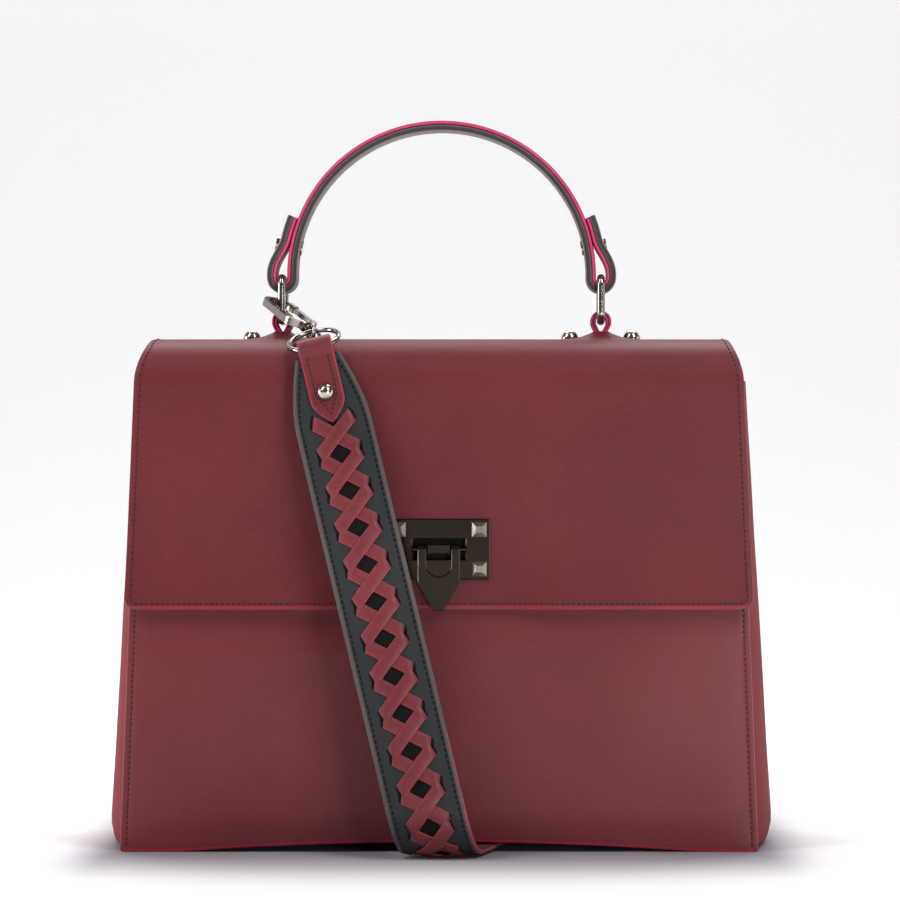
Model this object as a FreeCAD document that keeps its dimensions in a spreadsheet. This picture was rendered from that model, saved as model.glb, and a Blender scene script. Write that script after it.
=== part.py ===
import FreeCAD, Part
import math
import os
import re
import Sketcher

# A top handle bag in smooth leather: a flap with a flip lock, an arched handle on two rings, and a laced
# shoulder strap that is clipped to the left ring, crosses the front, goes under the bag and lies folded
# behind it. Millimetres, +Z up, the front faces -Y, the origin is on the floor under the bag's middle.

os.makedirs("parts", exist_ok=True)
doc = FreeCAD.newDocument("top_handle_bag")
V = FreeCAD.Vector
ACROSS = V(1, 0, 0)
BACK = V(0, 1, 0)
UP = V(0, 0, 1)
TOLERANCE = 0.001

SIZES = {
    # leather body: trapezoid panels, arched base, bowed gussets
    "base_width": 319, "side_taper": 9, "bag_depth": 120, "front_height": 236, "hinge_height": 254,
    "panel_thick": 2.5, "base_thick": 3, "base_arch": 5, "base_flat": 30, "edge_inset": 1,
    "gusset_height": 236, "gusset_bulge": 12, "gusset_bulge_top": 7,
    "lining_thick": 0.8, "lining_gap": 2.2, "lining_height": 234, "board_thick": 2,
    # flap
    "flap_thick": 2.6, "flap_gap": 0.4, "flap_round": 24, "flap_inset": 2.7,
    "flap_corner": 6, "flap_taper": 4.6, "shoulder_drop": 21, "shoulder_inset": 6.7, "shoulder_round": 36,
    # flip lock
    "lock_height": 151.5, "lock_rise": 30, "plate_width": 51, "plate_tall": 30.2, "plate_thick": 2,
    "lock_bevel": 0.4,
    "window_width": 27, "window_tall": 10.4, "window_drop": 4,
    "stud_size": 7.3, "stud_top": 3.2, "stud_rise": 1.6, "stud_shank": 2.5,
    "stud_pitch_across": 40.4, "stud_pitch_up": 19.7,
    "tongue_width": 21, "tongue_thick": 1.6, "tongue_gap": 0.4, "tongue_length": 30.4,
    "tongue_shoulder": 16.5, "tongue_tip": 5, "tongue_eye": 12.5, "tongue_eye_drop": 7.5,
    "knuckle_radius": 2.2, "lock_pin": 2, "pin_clearance": 0.15,
    "post_width": 11, "post_tall": 4, "flange_width": 20, "flange_tall": 14, "flange_thick": 1.2,
    # handle, its rings and its tabs
    "ring_spread": 164, "ring_rise": 10.4, "ring_tall": 22.1, "ring_wide": 24, "ring_wire": 4,
    "ring_corner": 4, "tab_width": 14, "tab_waist": 7, "tab_leather": 2.6, "tab_slack": 0.8,
    "tab_waist_rise": 3.5, "tab_bore_drop": 4.5,
    "ball_radius": 4.5, "ball_spread": 16, "ball_flat_angle": 20,
    "handle_leg": 1.6, "handle_width": 18, "handle_leather": 2, "handle_lining": 3.2, "handle_slack": 0.6,
    "handle_tail": 4, "handle_tail_gap": 0.3,
    "rivet_angle": 11, "rivet_shank": 3, "rivet_cap": 7.6, "rivet_rise": 0.9,
    # shoulder strap: slope is sideways travel for each millimetre of length along the front
    "strap_width": 38, "strap_end_width": 22, "strap_thick": 2.4, "strap_gap": 0.4, "strap_slope": 0.2438,
    "strap_foot": 0, "strap_top": 247.5, "strap_taper": 38, "strap_bend": 22, "strap_floor": 0.2,
    "strap_lean": 9,
    "lace_width": 7.8, "lace_thick": 1, "lace_zone": 20.5, "lace_pitch": 18.2, "lace_start": 36,
    "tail_gap": 12, "tail_run": 123, "tail_spare": 9, "tail_pitch": 7,
    # strap ends: tab, ring, swivel hook
    "end_tab_width": 17, "end_tab_leather": 1.6, "end_tab_front": 37, "end_tab_back": 26, "end_tab_tip": 12,
    "end_tab_cheek": 6.1,
    "end_loop": 3.7, "end_loop_rise": 4.4, "end_stud_drop": 19.5, "end_stud_flat_angle": 20,
    "end_ring": 12.6, "end_ring_wire": 2.6, "end_ring_seat": 1.65, "end_ring_lean": 32,
    "clip_rise": 7, "hook_roll": 190, "hook_half": 7.6, "hook_bar": 3, "hook_deep": 3.6, "hook_spare": 2,
    "hook_collar": 3.2, "hook_collar_long": 2.4, "hook_neck": 2.2, "hook_neck_long": 2.4,
    "swivel_eye": 3, "swivel_wire": 2, "gate_margin": 1, "gate_mouth": 3, "gate_gap": 0.5,
    "gate_thick": 2.6,
}

sheet = doc.addObject("Spreadsheet::Sheet", "Sizes")
for row, (alias, size) in enumerate(SIZES.items(), start=1):
    sheet.set(f"A{row}", alias)
    sheet.set(f"B{row}", str(size))
    sheet.setAlias(f"B{row}", alias)
doc.recompute()

pieces = []


def bound(expression):
    """The expression with each size name pointing at its cell."""
    return re.sub(r"[a-z_]+", lambda m: "Sizes." + m[0] if m[0] in SIZES else m[0], expression)


def number(expression):
    """What the expression comes to now."""
    return float(sheet.evalExpression(bound(expression)))


def bind(thing, **properties):
    """Tie properties, such as Length, to expressions on the sheet."""
    for name, expression in properties.items():
        thing.setExpression(name, bound(expression))
    return thing


def move(thing, **place):
    """Tie x, y or z of the thing's Placement to expressions on the sheet."""
    for axis, expression in place.items():
        thing.setExpression("Placement.Base." + axis, bound(expression))
    return thing


def keep(thing, label):
    """Name a finished sub-part."""
    thing.Label = label
    pieces.append(thing)
    return thing


def add_loop(sketch, corners):
    """Draw a closed loop: each corner is (across, up), or (across, up, radius) where an arc ends there.

    All are expressions. A negative radius makes the arc clockwise.
    """
    first = sketch.GeometryCount
    spots = [V(number(corner[0]), number(corner[1]), 0) for corner in corners]
    ends = []
    for i, corner in enumerate(corners):
        start, end = spots[i - 1], spots[i]
        if len(corner) == 2:
            sketch.addGeometry(Part.LineSegment(start, end))
            ends.append((1, 2))
            continue
        radius = number(corner[2])
        chord = end - start
        to_centre = V(-chord.y, chord.x, 0).normalize() * math.sqrt(radius ** 2 - chord.Length ** 2 / 4)
        centre = (start + end) / 2 + to_centre * math.copysign(1, radius)
        angles = [math.atan2(spot.y - centre.y, spot.x - centre.x) for spot in (start, end)]
        if radius < 0:
            angles.reverse()
        if angles[1] < angles[0]:
            angles[1] += 2 * math.pi
        sketch.addGeometry(Part.ArcOfCircle(Part.Circle(centre, UP, abs(radius)), *angles))
        ends.append((1, 2) if radius > 0 else (2, 1))
    count = len(corners)
    for i, corner in enumerate(corners):
        edge, end = first + i, ends[i][1]
        after = (i + 1) % count
        sketch.addConstraint(Sketcher.Constraint("Coincident", edge, end, first + after, ends[after][0]))
        for kind, expression in (("DistanceX", corner[0]), ("DistanceY", corner[1])):
            k = sketch.addConstraint(Sketcher.Constraint(kind, -1, 1, edge, end, number(expression)))
            sketch.setExpression(f"Constraints[{k}]", bound(expression))
        if len(corner) == 3:
            k = sketch.addConstraint(Sketcher.Constraint("Radius", edge, abs(number(corner[2]))))
            sketch.setExpression(f"Constraints[{k}]", bound(f"abs({corner[2]})"))


def add_hole(sketch, across, up, radius):
    """Draw a round hole in a sketch."""
    edge = sketch.addGeometry(Part.Circle(V(number(across), number(up), 0), UP, number(radius)))
    for kind, expression in (("DistanceX", across), ("DistanceY", up)):
        k = sketch.addConstraint(Sketcher.Constraint(kind, -1, 1, edge, 3, number(expression)))
        sketch.setExpression(f"Constraints[{k}]", bound(expression))
    k = sketch.addConstraint(Sketcher.Constraint("Radius", edge, number(radius)))
    sketch.setExpression(f"Constraints[{k}]", bound(radius))


def padded(name, plane, corners, length, loops=(), holes=(), both_ways=False):
    """A body padded from a closed outline on one of its own origin planes."""
    body = doc.addObject("PartDesign::Body", name)
    sketch = body.newObject("Sketcher::SketchObject", name + "_outline")
    support = next(f for f in body.Origin.OriginFeatures if f.Role == plane)
    sketch.AttachmentSupport = [(support, "")]
    sketch.MapMode = "FlatFace"
    add_loop(sketch, corners)
    for loop in loops:
        add_loop(sketch, loop)
    for hole in holes:
        add_hole(sketch, *hole)
    pad = body.newObject("PartDesign::Pad", name + "_pad")
    pad.Profile = sketch
    pad.SideType = "Symmetric" if both_ways else "One side"
    bind(pad, Length=length)
    return body


def rectangle(across, up, wide, tall):
    """Corners of a rectangle about a centre."""
    left, right = f"{across} - ({wide}) / 2", f"{across} + ({wide}) / 2"
    low, high = f"{up} - ({tall}) / 2", f"{up} + ({tall}) / 2"
    return [(left, low), (right, low), (right, high), (left, high)]


def box(name, length, width, height, **place):
    """A box with its low corner at the given place."""
    return move(bind(doc.addObject("Part::Box", name), Length=length, Width=width, Height=height), **place)


def rod(name, radius, length, **place):
    """A round rod lying along X from the given place."""
    thing = bind(doc.addObject("Part::Cylinder", name), Radius=radius, Height=length)
    thing.Placement = FreeCAD.Placement(V(), FreeCAD.Rotation(BACK, 90))
    return move(thing, **place)


def combine(kind, name, base, tool):
    """A boolean of two objects, such as Part::Cut."""
    result = doc.addObject(kind, name)
    result.Base = base
    result.Tool = tool
    return result


def bevelled(name, base, front, size, top):
    """The base with its front face's edges bevelled, apart from an edge that lies along the top."""
    doc.recompute()
    y, z = -number(front), number(top)
    result = doc.addObject("Part::Chamfer", name)
    result.Base = base
    chosen = []
    for k, edge in enumerate(base.Shape.Edges, start=1):
        reach = edge.BoundBox
        on_front = abs(reach.YMin - y) < TOLERANCE and reach.YLength < TOLERANCE
        if on_front and abs(reach.ZMin - z) > TOLERANCE:
            chosen.append((k, number(size), number(size)))
    result.Edges = chosen
    return result


def group(name, members):
    """Separate solids that share one sub-part."""
    result = doc.addObject("Part::Compound", name)
    result.Links = members
    return result


def shaped(label, shape, placement=None):
    """A sub-part whose shape is worked out from the sheet."""
    feature = doc.addObject("Part::Feature", label)
    feature.Shape = shape
    if placement:
        feature.Placement = placement
    return keep(feature, label)


def frame_of(origin, across, back, up):
    """The placement that puts local X, Y and Z along three directions at a point."""
    matrix = FreeCAD.Matrix(
        across.x, back.x, up.x, origin.x,
        across.y, back.y, up.y, origin.y,
        across.z, back.z, up.z, origin.z, 0, 0, 0, 1)
    return FreeCAD.Placement(matrix)


# Leather body: front, back and base share one arched foot line, and the bag stands on the two flats.
ARCH_HALF = "(base_width / 2 - base_flat)"
ARCH_RADIUS = f"(({ARCH_HALF} * {ARCH_HALF} + base_arch * base_arch) / (2 * base_arch))"
FRONT = "(bag_depth / 2)"
INNER = "(bag_depth / 2 - panel_thick)"


def half_width(height):
    """Half the width of the front and back panels at a height."""
    return f"(base_width / 2 - side_taper * ({height}) / front_height)"


def face_panel(name, head, loops=()):
    """The front or back panel, from the arched foot line to the right half of its head."""
    foot = [("-base_width / 2", "0"), (f"-{ARCH_HALF}", "0"), (ARCH_HALF, "0", f"-{ARCH_RADIUS}"),
            ("base_width / 2", "0")]
    left_head = [(f"-{across}", up) for across, up in reversed(head)]
    return padded(name, "XZ_Plane", foot + head + left_head, "panel_thick", loops=loops)


FLAP_HALF = "(base_width / 2 - flap_inset)"
SHOULDER_HALF = f"({FLAP_HALF} - flap_taper)"
TOP_HALF = f"({SHOULDER_HALF} - shoulder_inset)"
shoulder = (half_width("front_height"), "front_height")
post_hole = rectangle("0", "lock_height", "post_width", "post_tall")
keep(move(face_panel("front", [shoulder], [post_hole]), y=f"panel_thick - {FRONT}"), "front_panel")
keep(move(face_panel("back", [shoulder, (TOP_HALF, "hinge_height")]), y=FRONT), "back_panel")

base_outline = [
    ("-base_width / 2", "0"), (f"-{ARCH_HALF}", "0"), (ARCH_HALF, "0", f"-{ARCH_RADIUS}"),
    ("base_width / 2", "0"), ("base_width / 2", "base_thick"), (ARCH_HALF, "base_thick"),
    (f"-{ARCH_HALF}", "base_thick", ARCH_RADIUS), ("-base_width / 2", "base_thick")]
keep(padded("base", "XZ_Plane", base_outline, f"2 * {INNER}", both_ways=True), "base_panel")


def gusset(side):
    """An end panel that bows outwards, most near the foot."""
    sections = []
    deep = number(INNER)
    thick = number("panel_thick")
    for height, bulge in (("base_thick", "gusset_bulge"), ("gusset_height", "gusset_bulge_top")):
        z = number(height)
        edge = number(f"{half_width(height)} - edge_inset")
        bow = number(bulge)
        arcs = []
        for place in (edge, edge - thick):
            spots = ((place, -deep), (place + bow, 0), (place, deep))
            arcs.append([V(side * x, y, z) for x, y in spots])
        outer, inner = arcs
        sections.append(Part.Wire([
            Part.Arc(*outer).toShape(), Part.LineSegment(outer[2], inner[2]).toShape(),
            Part.Arc(*reversed(inner)).toShape(), Part.LineSegment(inner[0], outer[0]).toShape()]))
    return Part.makeLoft(sections, True, True)


shaped("gusset_left", gusset(-1))
shaped("gusset_right", gusset(1))

# Inside: a stiff board on the crown of the base and an open fabric lining.
BOARD_LOW = "(base_thick + base_arch)"
LINING_LOW = "(base_thick + base_arch + board_thick)"
LINING_HALF = f"({half_width('gusset_height')} - edge_inset - panel_thick - pin_clearance)"
LINING_DEEP = f"({INNER} - lining_gap)"
keep(box("board", f"2 * {LINING_HALF}", f"2 * {LINING_DEEP}", "board_thick",
         x=f"-{LINING_HALF}", y=f"-{LINING_DEEP}", z=BOARD_LOW), "base_board")
lining_outside = box("lining_outside", f"2 * {LINING_HALF}", f"2 * {LINING_DEEP}",
                     f"lining_height - {LINING_LOW}",
                     x=f"-{LINING_HALF}", y=f"-{LINING_DEEP}", z=LINING_LOW)
lining_inside = box("lining_inside", f"2 * ({LINING_HALF} - lining_thick)",
                    f"2 * ({LINING_DEEP} - lining_thick)", "lining_height",
                    x=f"lining_thick - {LINING_HALF}", y=f"lining_thick - {LINING_DEEP}",
                    z=f"{LINING_LOW} + lining_thick")
keep(combine("Part::Cut", "lining_shell", lining_outside, lining_inside), "lining")

# Flap: one leather sheet from the hinge line on the back panel, over the top and down the front.
FLAP_IN = "(bag_depth / 2 + flap_gap)"
FLAP_OUT = "(bag_depth / 2 + flap_gap + flap_thick)"
TOP_IN = "(hinge_height + flap_gap)"
TOP = "(hinge_height + flap_gap + flap_thick)"
PLATE_OUT = f"({FLAP_OUT} + plate_thick)"
FLAP_EDGE = "(lock_height - lock_rise)"

flap_side = padded("flap_side", "YZ_Plane", [
    (f"-{FLAP_OUT}", FLAP_EDGE), (f"-{FLAP_OUT}", f"{TOP} - flap_round"),
    (f"flap_round - {FLAP_OUT}", TOP, "-flap_round"), (FRONT, TOP), (FRONT, TOP_IN),
    (f"flap_round - {FLAP_OUT}", TOP_IN), (f"-{FLAP_IN}", f"{TOP} - flap_round", "flap_round - flap_thick"),
    (f"-{FLAP_IN}", FLAP_EDGE)], "base_width", both_ways=True)
flap_front = padded("flap_front", "XZ_Plane", [
    (f"flap_corner - {FLAP_HALF}", FLAP_EDGE, "flap_corner"), (f"{FLAP_HALF} - flap_corner", FLAP_EDGE),
    (FLAP_HALF, f"{FLAP_EDGE} + flap_corner", "flap_corner"), (SHOULDER_HALF, f"{TOP} - shoulder_drop"),
    (TOP_HALF, TOP, "shoulder_round"), (f"-{TOP_HALF}", TOP),
    (f"-{SHOULDER_HALF}", f"{TOP} - shoulder_drop", "shoulder_round"),
    (f"-{FLAP_HALF}", f"{FLAP_EDGE} + flap_corner")],
    f"4 * {FLAP_OUT}", both_ways=True)
flap_sheet = combine("Part::Common", "flap_sheet", flap_side, flap_front)
flap_slot = box("flap_slot", "window_width", "2 * flap_thick + 2 * flap_gap", "window_tall + window_drop",
                x="-window_width / 2", y=f"-{FLAP_OUT} - flap_gap",
                z="lock_height - window_tall / 2 - window_drop")
flap_cuts = [flap_slot]
for column in (-1, 1):
    for level in (-1, 1):
        shank = bind(doc.addObject("Part::Cylinder", "flap_stud_hole"), Radius="stud_shank / 2",
                     Height="2 * flap_thick + 2 * flap_gap")
        shank.Placement = FreeCAD.Placement(V(), FreeCAD.Rotation(ACROSS, 90))
        flap_cuts.append(move(shank, x=f"{column} * stud_pitch_across / 2",
                              y=f"flap_gap - {FLAP_IN} + flap_thick",
                              z=f"lock_height + {level} * stud_pitch_up / 2"))
keep(combine("Part::Cut", "flap_leather", flap_sheet, group("flap_cuts", flap_cuts)), "flap")

# Flip lock: a plate with a window on the flap, held by four pyramid studs, and a pointed tongue hinged in it.
stud_holes = [(f"{column} * stud_pitch_across / 2", f"lock_height + {level} * stud_pitch_up / 2",
               "stud_shank / 2") for column in (-1, 1) for level in (-1, 1)]
plate = padded("plate", "XZ_Plane", rectangle("0", "lock_height", "plate_width", "plate_tall"), "plate_thick",
               loops=[rectangle("0", "lock_height", "window_width", "window_tall")], holes=stud_holes)
move(plate, y=f"-{FLAP_OUT}")
keep(bevelled("plate_bevelled", plate, PLATE_OUT, "lock_bevel", "0"), "lock_plate")


def square(half, y):
    """A level square outline about the Y axis."""
    return Part.makePolygon([V(-half, y, -half), V(half, y, -half), V(half, y, half), V(-half, y, half),
                             V(-half, y, -half)])


def lock_studs():
    """Pyramid heads on the plate with shanks through the plate and the flap."""
    foot, top = square(number("stud_size / 2"), 0), square(number("stud_top / 2"), -number("stud_rise"))
    head = Part.makeLoft([foot, top], True, True)
    shank = Part.makeCylinder(number("stud_shank / 2"), number("plate_thick + flap_thick"), V(), BACK)
    stud = head.fuse(shank)
    studs = []
    for across, up, _ in stud_holes:
        copy = stud.copy()
        copy.translate(V(number(across), -number(PLATE_OUT), number(up)))
        studs.append(copy)
    return Part.makeCompound(studs)


shaped("lock_studs", lock_studs())

PIVOT = "lock_height"
TONGUE_BACK = f"({PLATE_OUT} + tongue_gap)"
KNUCKLE = f"({PLATE_OUT} + tongue_gap + tongue_thick - knuckle_radius)"
tongue_plate = move(padded("tongue_plate", "XZ_Plane", [
    ("-tongue_width / 2", PIVOT), ("-tongue_width / 2", f"{PIVOT} - tongue_shoulder"),
    ("-tongue_tip / 2", f"{PIVOT} - tongue_length"), ("tongue_tip / 2", f"{PIVOT} - tongue_length"),
    ("tongue_width / 2", f"{PIVOT} - tongue_shoulder"), ("tongue_width / 2", PIVOT)], "tongue_thick"),
    y=f"-{TONGUE_BACK}")
knuckle = rod("knuckle", "knuckle_radius", "tongue_width", x="-tongue_width / 2", y=f"-{KNUCKLE}", z=PIVOT)
knuckle_bore = rod("knuckle_bore", "lock_pin / 2 + pin_clearance", "tongue_width",
                   x="-tongue_width / 2", y=f"-{KNUCKLE}", z=PIVOT)
EYE_HALF = "(tongue_eye / 2)"
EYE_LOW = f"({PIVOT} - tongue_eye_drop)"
tongue_eye = move(padded("tongue_eye", "XZ_Plane", [
    (EYE_HALF, EYE_LOW, EYE_HALF), (EYE_HALF, f"{PIVOT} + 2 * knuckle_radius"),
    (f"-{EYE_HALF}", f"{PIVOT} + 2 * knuckle_radius"), (f"-{EYE_HALF}", EYE_LOW),
    ("0", f"{EYE_LOW} - {EYE_HALF}", EYE_HALF)],
    "8 * knuckle_radius", both_ways=True), y=f"-{KNUCKLE}")
tongue_leaf = combine("Part::Cut", "tongue_leaf", tongue_plate, tongue_eye)
TONGUE_OUT = f"({TONGUE_BACK} + tongue_thick)"
tongue_bevelled = bevelled("tongue_bevelled", tongue_leaf, TONGUE_OUT, "lock_bevel", PIVOT)
knuckles = combine("Part::Cut", "knuckles", knuckle, tongue_eye)
tongue_body = combine("Part::Fuse", "tongue_body", tongue_bevelled, knuckles)
keep(combine("Part::Cut", "tongue", tongue_body, knuckle_bore), "lock_tongue")

pin_long = f"(window_width / 2 - {EYE_HALF})"
pins = [rod("pin_left", "lock_pin / 2", pin_long, x="-window_width / 2", y=f"-{KNUCKLE}", z=PIVOT),
        rod("pin_right", "lock_pin / 2", pin_long, x=EYE_HALF, y=f"-{KNUCKLE}", z=PIVOT)]
keep(group("pins", pins), "tongue_pins")

post_bar = box("post_bar", "post_width", f"{PLATE_OUT} - {INNER}", "post_tall",
               x="-post_width / 2", y=f"-{PLATE_OUT}", z="lock_height - post_tall / 2")
post_flange = box("post_flange", "flange_width", "flange_thick", "flange_tall",
                  x="-flange_width / 2", y=f"-{INNER}", z="lock_height - flange_tall / 2")
keep(combine("Part::Fuse", "post", post_bar, post_flange), "lock_post")

# Handle tabs: leather loops that stand on the flap, each between two ball studs, and hold the rings.
RING_X = "(ring_spread / 2)"
RING_LOW = f"({TOP} + ring_rise)"
RING_HIGH = f"({TOP} + ring_rise + ring_tall)"
BORE = "(ring_wire / 2 + tab_slack)"
LOOP = "(ring_wire / 2 + tab_slack + tab_leather)"
BORE_LOW = f"({RING_LOW} - tab_bore_drop)"
for side, name in ((-1, "left"), (1, "right")):
    tab = padded(f"tab_{name}", "XZ_Plane", [
        ("-tab_waist / 2", TOP), ("tab_waist / 2", TOP), (LOOP, f"{TOP} + tab_waist_rise"), (LOOP, RING_LOW),
        ("0", f"{RING_LOW} + {LOOP}", LOOP), (f"-{LOOP}", RING_LOW, LOOP),
        (f"-{LOOP}", f"{TOP} + tab_waist_rise")],
        "tab_width", both_ways=True, loops=[[
            (BORE, BORE_LOW, BORE), (BORE, RING_LOW), ("0", f"{RING_LOW} + {BORE}", BORE),
            (f"-{BORE}", RING_LOW, BORE), (f"-{BORE}", BORE_LOW), ("0", f"{BORE_LOW} - {BORE}", BORE)]])
    keep(move(tab, x=f"{side} * {RING_X}"), f"{name}_handle_tab")

balls = []
for side in (-1, 1):
    for beside in (-1, 1):
        ball = bind(doc.addObject("Part::Sphere", "ball"), Radius="ball_radius")
        ball.Angle1 = -number("ball_flat_angle")
        balls.append(move(ball, x=f"{side} * {RING_X} + {beside} * ball_spread",
                          z=f"{TOP} + ball_radius * sin(ball_flat_angle)"))
keep(group("balls", balls), "ball_studs")


def ring():
    """A rounded rectangle of round wire in the YZ plane, from the tab's bore up to the handle's loop."""
    half, corner = number("ring_wide / 2"), number("ring_corner")
    low, high = number(RING_LOW), number(RING_HIGH)
    hubs = [V(0, y, z) for y, z in ((half - corner, low + corner), (half - corner, high - corner),
                                    (corner - half, high - corner), (corner - half, low + corner))]
    ways = [UP * -1, BACK, UP, BACK * -1, UP * -1]
    edges = []
    last = hubs[-1] + ways[-1] * corner
    for hub, leaves, arrives in zip(hubs, ways, ways[1:]):
        first, middle = hub + leaves * corner, hub + (leaves + arrives).normalize() * corner
        edges.append(Part.LineSegment(last, first).toShape())
        last = hub + arrives * corner
        edges.append(Part.Arc(first, middle, last).toShape())
    section = Part.Wire(Part.makeCircle(number("ring_wire / 2"), last, BACK))
    return Part.Wire(edges).makePipeShell([section], True, True)


for side, name in ((-1, "left"), (1, "right")):
    shaped(f"{name}_ring", ring(), FreeCAD.Placement(V(side * number(RING_X), 0, 0), FreeCAD.Rotation()))

# Handle: two layers bent to an arch; each end goes round its ring and folds back up outside the arch.
WRAP = "(ring_wire / 2 + handle_slack)"
ARCH = f"({RING_X} - {WRAP})"
SPRING = f"({RING_HIGH} + handle_leg)"


def handle_line(depth):
    """Edges of the right half, from the arch's crown to the folded end, at a depth below the outer face."""
    wrap, arch = number(WRAP), number(ARCH)
    bar = V(number(RING_X), 0, number(RING_HIGH))
    hub = V(0, 0, number(SPRING))
    tail_arch = arch + number("handle_tail_gap")
    between = bar - hub
    tilt = math.atan2(between.z, between.x) + math.acos((tail_arch - wrap) / between.Length)
    outward = V(math.cos(tilt), 0, math.sin(tilt))
    along = V(-outward.z, 0, outward.x)
    crown = hub + UP * (arch - depth)
    springing = hub + ACROSS * (arch - depth)
    shoulder = hub + V(1, 0, 1).normalize() * (arch - depth)
    leg_low = V(springing.x, 0, bar.z)
    under = bar - V(-math.sin(tilt / 2), 0, math.cos(tilt / 2)) * (wrap + depth)
    wrapped = bar + outward * (wrap + depth)
    end = hub + outward * (tail_arch + depth) + along * number("handle_tail")
    return [Part.Arc(crown, shoulder, springing).toShape(), Part.LineSegment(springing, leg_low).toShape(),
            Part.Arc(leg_low, under, wrapped).toShape(), Part.LineSegment(wrapped, end).toShape()]


def handle_layer(shallow, deep):
    """One leather layer of the handle between two depths, cut for the rivets."""
    outer, inner = handle_line(shallow), handle_line(deep)
    end = Part.LineSegment(outer[-1].Vertexes[-1].Point, inner[-1].Vertexes[-1].Point).toShape()
    crown = Part.LineSegment(outer[0].Vertexes[0].Point, inner[0].Vertexes[0].Point).toShape()
    half = Part.Face(Part.Wire(Part.__sortEdges__(outer + inner + [end, crown])))
    wide = number("handle_width")
    right = half.extrude(BACK * wide)
    right.translate(BACK * (-wide / 2))
    whole = right.fuse(right.mirror(V(), ACROSS)).removeSplitter()
    for side in (-1, 1):
        whole = whole.cut(rivet_rod(side, number("rivet_shank / 2")))
    return whole


def rivet_rod(side, radius, start=None, length=None):
    """A rod on a rivet's axis, which points out of the arch."""
    angle = math.radians(number("rivet_angle"))
    axis = V(side * math.cos(angle), 0, math.sin(angle))
    hub = V(0, 0, number(SPRING))
    near = number(ARCH) - 4 * HANDLE_DEEP if start is None else start
    return Part.makeCylinder(radius, 8 * HANDLE_DEEP if length is None else length, hub + axis * near, axis)


HANDLE_OUTER = number("handle_leather")
HANDLE_DEEP = number("handle_leather + handle_lining")
handle_outer = handle_layer(0, HANDLE_OUTER)
handle_lining = handle_layer(HANDLE_OUTER, HANDLE_DEEP)


def handle_rivets():
    """A rivet at each end, with a cap seated on the lining inside the arch and on the folded end."""
    leather = handle_outer.fuse(handle_lining)
    cap_radius, rise = number("rivet_cap / 2"), number("rivet_rise")
    angle = math.radians(number("rivet_angle"))
    rivets = []
    for side in (-1, 1):
        axis = V(side * math.cos(angle), 0, math.sin(angle))
        reach = []
        for solid in (handle_outer, handle_lining):
            core = solid.common(rivet_rod(side, cap_radius))
            reach += [(vertex.Point - V(0, 0, number(SPRING))).dot(axis) for vertex in core.Vertexes]
        inside, outside = min(reach), max(reach)
        stem = rivet_rod(side, number("rivet_shank / 2"), inside - rise, outside - inside + 2 * rise)
        caps = [rivet_rod(side, cap_radius, face - rise, 2 * rise) for face in (inside, outside)]
        rivets.append(stem.fuse([cap.cut(leather) for cap in caps]))
    return Part.makeCompound(rivets)


shaped("handle_outer", handle_outer)
shaped("handle_lining", handle_lining)
shaped("handle_rivets", handle_rivets())

# Shoulder strap: the front run leans out towards the floor, and is cut off level where it bends there.
STRAP_BACK = f"({PLATE_OUT} + stud_rise + strap_gap)"
STRAP_SLANT = "sqrt(1 + strap_slope * strap_slope)"
STRAP_LEVEL = "(strap_floor + lace_thick + strap_thick / 2)"
BEND_TOP = f"({STRAP_LEVEL} + strap_bend * (1 + sin(strap_lean)))"
RUN_LOW = f"(strap_top - (strap_top - {BEND_TOP}) / cos(strap_lean))"


def strap_x(height):
    """Middle of the strap's front run at a height, measured along its lean."""
    return f"(strap_foot - strap_slope * ({height}))"


def strap_edge(height, width, side):
    """A level strap section's end on one side."""
    return f"{strap_x(height)} + {side} * {width} / 2 * {STRAP_SLANT}"


TAPER_LOW = "(strap_top - strap_taper)"
strap_outline = [
    (strap_edge(RUN_LOW, "strap_width", -1), RUN_LOW), (strap_edge(RUN_LOW, "strap_width", 1), RUN_LOW),
    (strap_edge(TAPER_LOW, "strap_width", 1), TAPER_LOW),
    (strap_edge("strap_top", "strap_end_width", 1), "strap_top"),
    (strap_edge("strap_top", "strap_end_width", -1), "strap_top"),
    (strap_edge(TAPER_LOW, "strap_width", -1), TAPER_LOW)]
strap = padded("strap", "XZ_Plane", strap_outline, "strap_thick")
strap.Placement = FreeCAD.Placement(V(), FreeCAD.Rotation(ACROSS * -1, number("strap_lean")))
strap.setExpression("Placement.Rotation.Angle", bound("strap_lean"))
keep(move(strap, y=f"-{STRAP_BACK} - strap_top * sin(strap_lean)", z="strap_top * (1 - cos(strap_lean))"),
     "strap_front")

slope = number("strap_slope")
slant = math.atan(slope)
lean = math.radians(number("strap_lean"))
leaning = FreeCAD.Rotation(ACROSS, -number("strap_lean"))
strap_up = leaning.multVec(V(-math.sin(slant), 0, math.cos(slant)))
strap_across = leaning.multVec(V(math.cos(slant), 0, math.sin(slant)))
strap_back = leaning.multVec(BACK)
strap_end = V(number(strap_x("strap_top")), -number(STRAP_BACK), number("strap_top"))
strap_end = strap_end - strap_back * number("strap_thick / 2")
near_frame = frame_of(strap_end, strap_across, strap_back, strap_up)

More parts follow.
